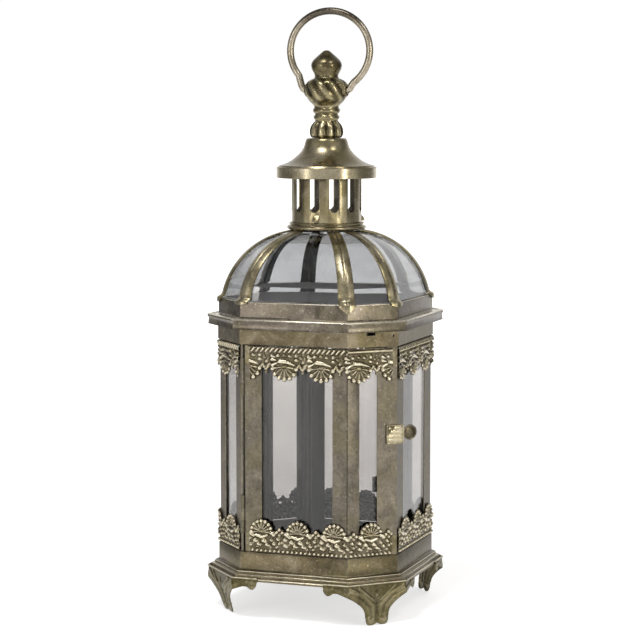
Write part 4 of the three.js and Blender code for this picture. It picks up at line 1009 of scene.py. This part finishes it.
footStrokes = [
    (0, 29.8, 42, 29.8, 0.8, 0.8, 0.85), (4.8, 3.9, 5.4, 4.1, 3.8, 3.8, 0.85), (6.6, 8.6, 7.6, 12.6, 1.9, 1.9, 0.55),
    (7.6, 12.6, 12.6, 17.8, 1.9, 1.9, 0.55), (12.6, 17.8, 23.4, 23.4, 1.9, 1.8, 0.55),
    (23.4, 23.4, 34.4, 27.4, 1.8, 1.4, 0.55), (2.6, 7, 3.2, 14.6, 1.4, 1.7, 0.6),
    (3.2, 14.6, 9.8, 21, 1.7, 1.6, 0.65), (9.8, 21, 21, 27.4, 1.6, 1.4, 0.65), (2.8, 18.2, 14, 27.6, 1, 1.2, 0.7),
    (15.4, 22.8, 21.6, 25.4, 1.5, 1.1, 0.7), (0, 21.4, 0, 22, 1, 1, 0.6), (38.2, 25.2, 38.6, 25.2, 3.5, 3.5, 0.75),
    (33.4, 27, 36, 26.4, 1.3, 1.5, 0.6),
]
footDimples = [
    (4, 5.9, 4.4, 5.7, 1.3, 1.2, 0.6), (0, 24.4, 0, 24.6, 1.1, 1.1, 0.6), (0, 15.2, 0, 16.6, 0.9, 0.7, 0.5),
    (0, 8.6, 0, 13, 0.5, 0.7, 0.25), (37, 24.6, 39.4, 25, 0.8, 0.7, 0.45), (29, 26.2, 33, 28, 0.5, 0.5, 0.35),
]

size = footSize
laid = size["laidAt"]
middle = 2 * (wallFace(0)[1] + laid * mitre) + wallFace(1)[1] + laid * mitre
rim = [(x0, z0 + 0.8, x1, z1 + 0.8, 0.75, 0.75, 0.5) for (x0, z0), (x1, z1) in zip(footEdge, footEdge[1:-1])]
for quarter, (node, lean) in enumerate(size["leans"].items()):
    shape = reliefGrid(2 * size["reach"], size["top"], size["cell"])
    side, level = flatPlaces(shape, -size["reach"])
    away = np.abs(side)
    low = np.interp(away, *zip(*footEdge))
    height = np.maximum(strokeField(away, level, footStrokes, 0)[0], strokeField(away, level, rim, 0)[0])
    height = height - strokeField(away, level, footDimples, 0)[0]
    # The top strip is made pale as a painted highlight, the raised pattern a little pale as wear and painted highlight,
    # and the low ground darkened as painted shade
    wear = np.where(level > size["rubbedFrom"], 0.8, np.clip((height - 0.5) / 0.4, 0, 1) * 0.2)
    soot = np.clip(0.7 - height / 0.5, 0, 1) * 0.65

    def mapping(u, v, rise):
        out = size["out"] - lean * np.clip(size["knee"] - v, 0, None) / size["knee"] + rise
        faces = [(2 * quarter + step) % 8 for step in range(3)]
        x, y = wrapOnWalls(u - size["reach"] + middle, out, faces, laid)
        return [Vector(place) for place in zip(x, y, np.clip(v, 0, None))]

    placeRelief(shape, level >= low - 0.1, height, wear, soot, mapping)
    foot = finishPiece(shape, node, "stamped", oliveLeafTin, smooth=180, recalculate=False)
    giveWall(foot, size["sheet"])
print("feet made")

# White paper all round, two dark boards beside and behind it, two narrow lamps at the sides and two above
studio = {
    "floorRadius": 30, "floorColour": "#e4e4e4", "glowNear": 0.62, "glowFar": 1.15, "glowFront": 0.4, "glowFrom": 0.5,
    "glowTo": 1.6, "surround": 0.7, "behind": 1.02, "overhead": 0.4, "viewAzimuth": 20, "aim": (0, 0, 0.2),
    "boards": [{"azimuth": -94, "dark": 0.28}, {"azimuth": 124, "dark": 0.24}], "boardEdges": (20, 42),
}
# Each lamp: azimuth, elevation, distance, width and height, watts, colour
lamps = {
    "lamp_left": (-26, 8, 1.7, (0.16, 0.8), 2.8, "#fffdf8"),
    "lamp_right": (62, 8, 1.7, (0.13, 0.8), 6.2, "#fffbf2"),
    "lamp_top": (-12, 62, 1.6, (0.5, 0.5), 11, "#ffffff"),
    "lamp_top_right": (62, 52, 1.6, (0.3, 0.3), 3, "#fffdf6"),
}
cameraSetup = {"lens": 123.9, "sensor": 36, "place": (0.5407, -1.4855, 0.3686), "turn": (84.13, 0, 20.17)}


def directionFrom(azimuth, elevation):
    a, e = math.radians(azimuth), math.radians(elevation)
    return Vector((math.sin(a) * math.cos(e), -math.cos(a) * math.cos(e), math.sin(e)))


def towards(tree, heading, direction, start, end, low, high):  # from low to high as a heading nears a direction
    facing = addNode(tree, "VectorMath", {"operation": "DOT_PRODUCT", 0: heading, 1: direction}, "Value")
    return addNode(tree, "MapRange", {
        "interpolation_type": "SMOOTHSTEP", "Value": facing, "From Min": start, "From Max": end, "To Min": low,
        "To Max": high,
    }, "Result")


def boardShade(tree, heading, elevation):  # the two dark boards, as a factor
    near, wide = [math.cos(math.radians(angle)) for angle in studio["boardEdges"]]
    left, right = [
        towards(tree, heading, directionFrom(board["azimuth"], elevation), wide, near, 1, board["dark"])
        for board in studio["boards"]
    ]
    return addNode(tree, "Math", {"operation": "MULTIPLY", 0: left, 1: right}, "Value")


away = -directionFrom(studio["viewAzimuth"], 0)
ground = bmesh.new()
bmesh.ops.create_circle(ground, cap_ends=True, segments=96, radius=studio["floorRadius"])
floor = addObject("studio_floor", toMesh(ground, "studio_floor"))
# Matt paper that glows as painted light, more away from the lantern and most behind it, so it runs into the white
# behind it; far off it is painted darker towards the two boards as painted shade
material, tree, surface = newMaterial("studio_paper_matt_glowing")
place = addNode(tree, "TexCoord", output="Object")
distance = addNode(tree, "VectorMath", {"operation": "LENGTH", 0: place}, "Value")
heading = addNode(tree, "VectorMath", {"operation": "NORMALIZE", 0: place}, "Vector")
far = addNode(tree, "MapRange", {
    "interpolation_type": "SMOOTHSTEP", "Value": distance, "From Min": studio["glowFrom"],
    "From Max": studio["glowTo"],
}, "Result")
shade = boardShade(tree, heading, 0)
farGlow = addNode(tree, "Math", {
    "operation": "MULTIPLY", 0: towards(tree, heading, away, 0.5, 0.85, studio["glowFront"], studio["glowFar"]),
    1: shade,
}, "Value")
glow = addNode(tree, "Mix", {
    "data_type": "FLOAT", "Factor": far, "A": studio["glowNear"], "B": farGlow,
}, "Result")
paper = addNode(tree, "MixRGB", {
    "blend_type": "MULTIPLY", "Fac": far, "Color1": toLinear(studio["floorColour"]), "Color2": shade,
}, "Color")
setNode(tree, surface, {
    "Base Color": paper, "Roughness": 0.9, "Emission Color": grey(1), "Emission Strength": glow,
})
floor.data.materials.append(material)

world = bpy.data.worlds.new("studio")
scene.world = world
world.use_nodes = True
tree = world.node_tree
heading = addNode(tree, "TexCoord", output="Generated")
strength = towards(tree, heading, away, 0.1, 0.7, studio["surround"], studio["behind"])
shades = [towards(tree, heading, (0, 0, 1), 0.25, 0.7, 1, studio["overhead"]), boardShade(tree, heading, 5)]
for shade in shades:
    strength = addNode(tree, "Math", {"operation": "MULTIPLY", 0: strength, 1: shade}, "Value")
setNode(tree, tree.nodes["Background"], {"Color": grey(1), "Strength": strength})

for name, (azimuth, elevation, distance, size, watts, colour) in lamps.items():
    light = bpy.data.lights.new(name, "AREA")
    light.shape = "RECTANGLE"
    light.size, light.size_y = size
    light.energy = watts
    light.color = toLinear(colour)[:3]
    holder = addObject(name, light)
    holder.visible_camera = False
    holder.visible_transmission = False
    direction = directionFrom(azimuth, elevation)
    holder.location = Vector(studio["aim"]) + direction * distance
    holder.rotation_euler = direction.to_track_quat("Z", "Y").to_euler()

camera = bpy.data.cameras.new("photo_camera")
camera.lens = cameraSetup["lens"]
camera.sensor_width = cameraSetup["sensor"]
viewer = addObject("photo_camera", camera)
viewer.location = cameraSetup["place"]
viewer.rotation_euler = [math.radians(angle) for angle in cameraSetup["turn"]]
scene.camera = viewer
scene.view_settings.view_transform = "Standard"
print("studio ready")
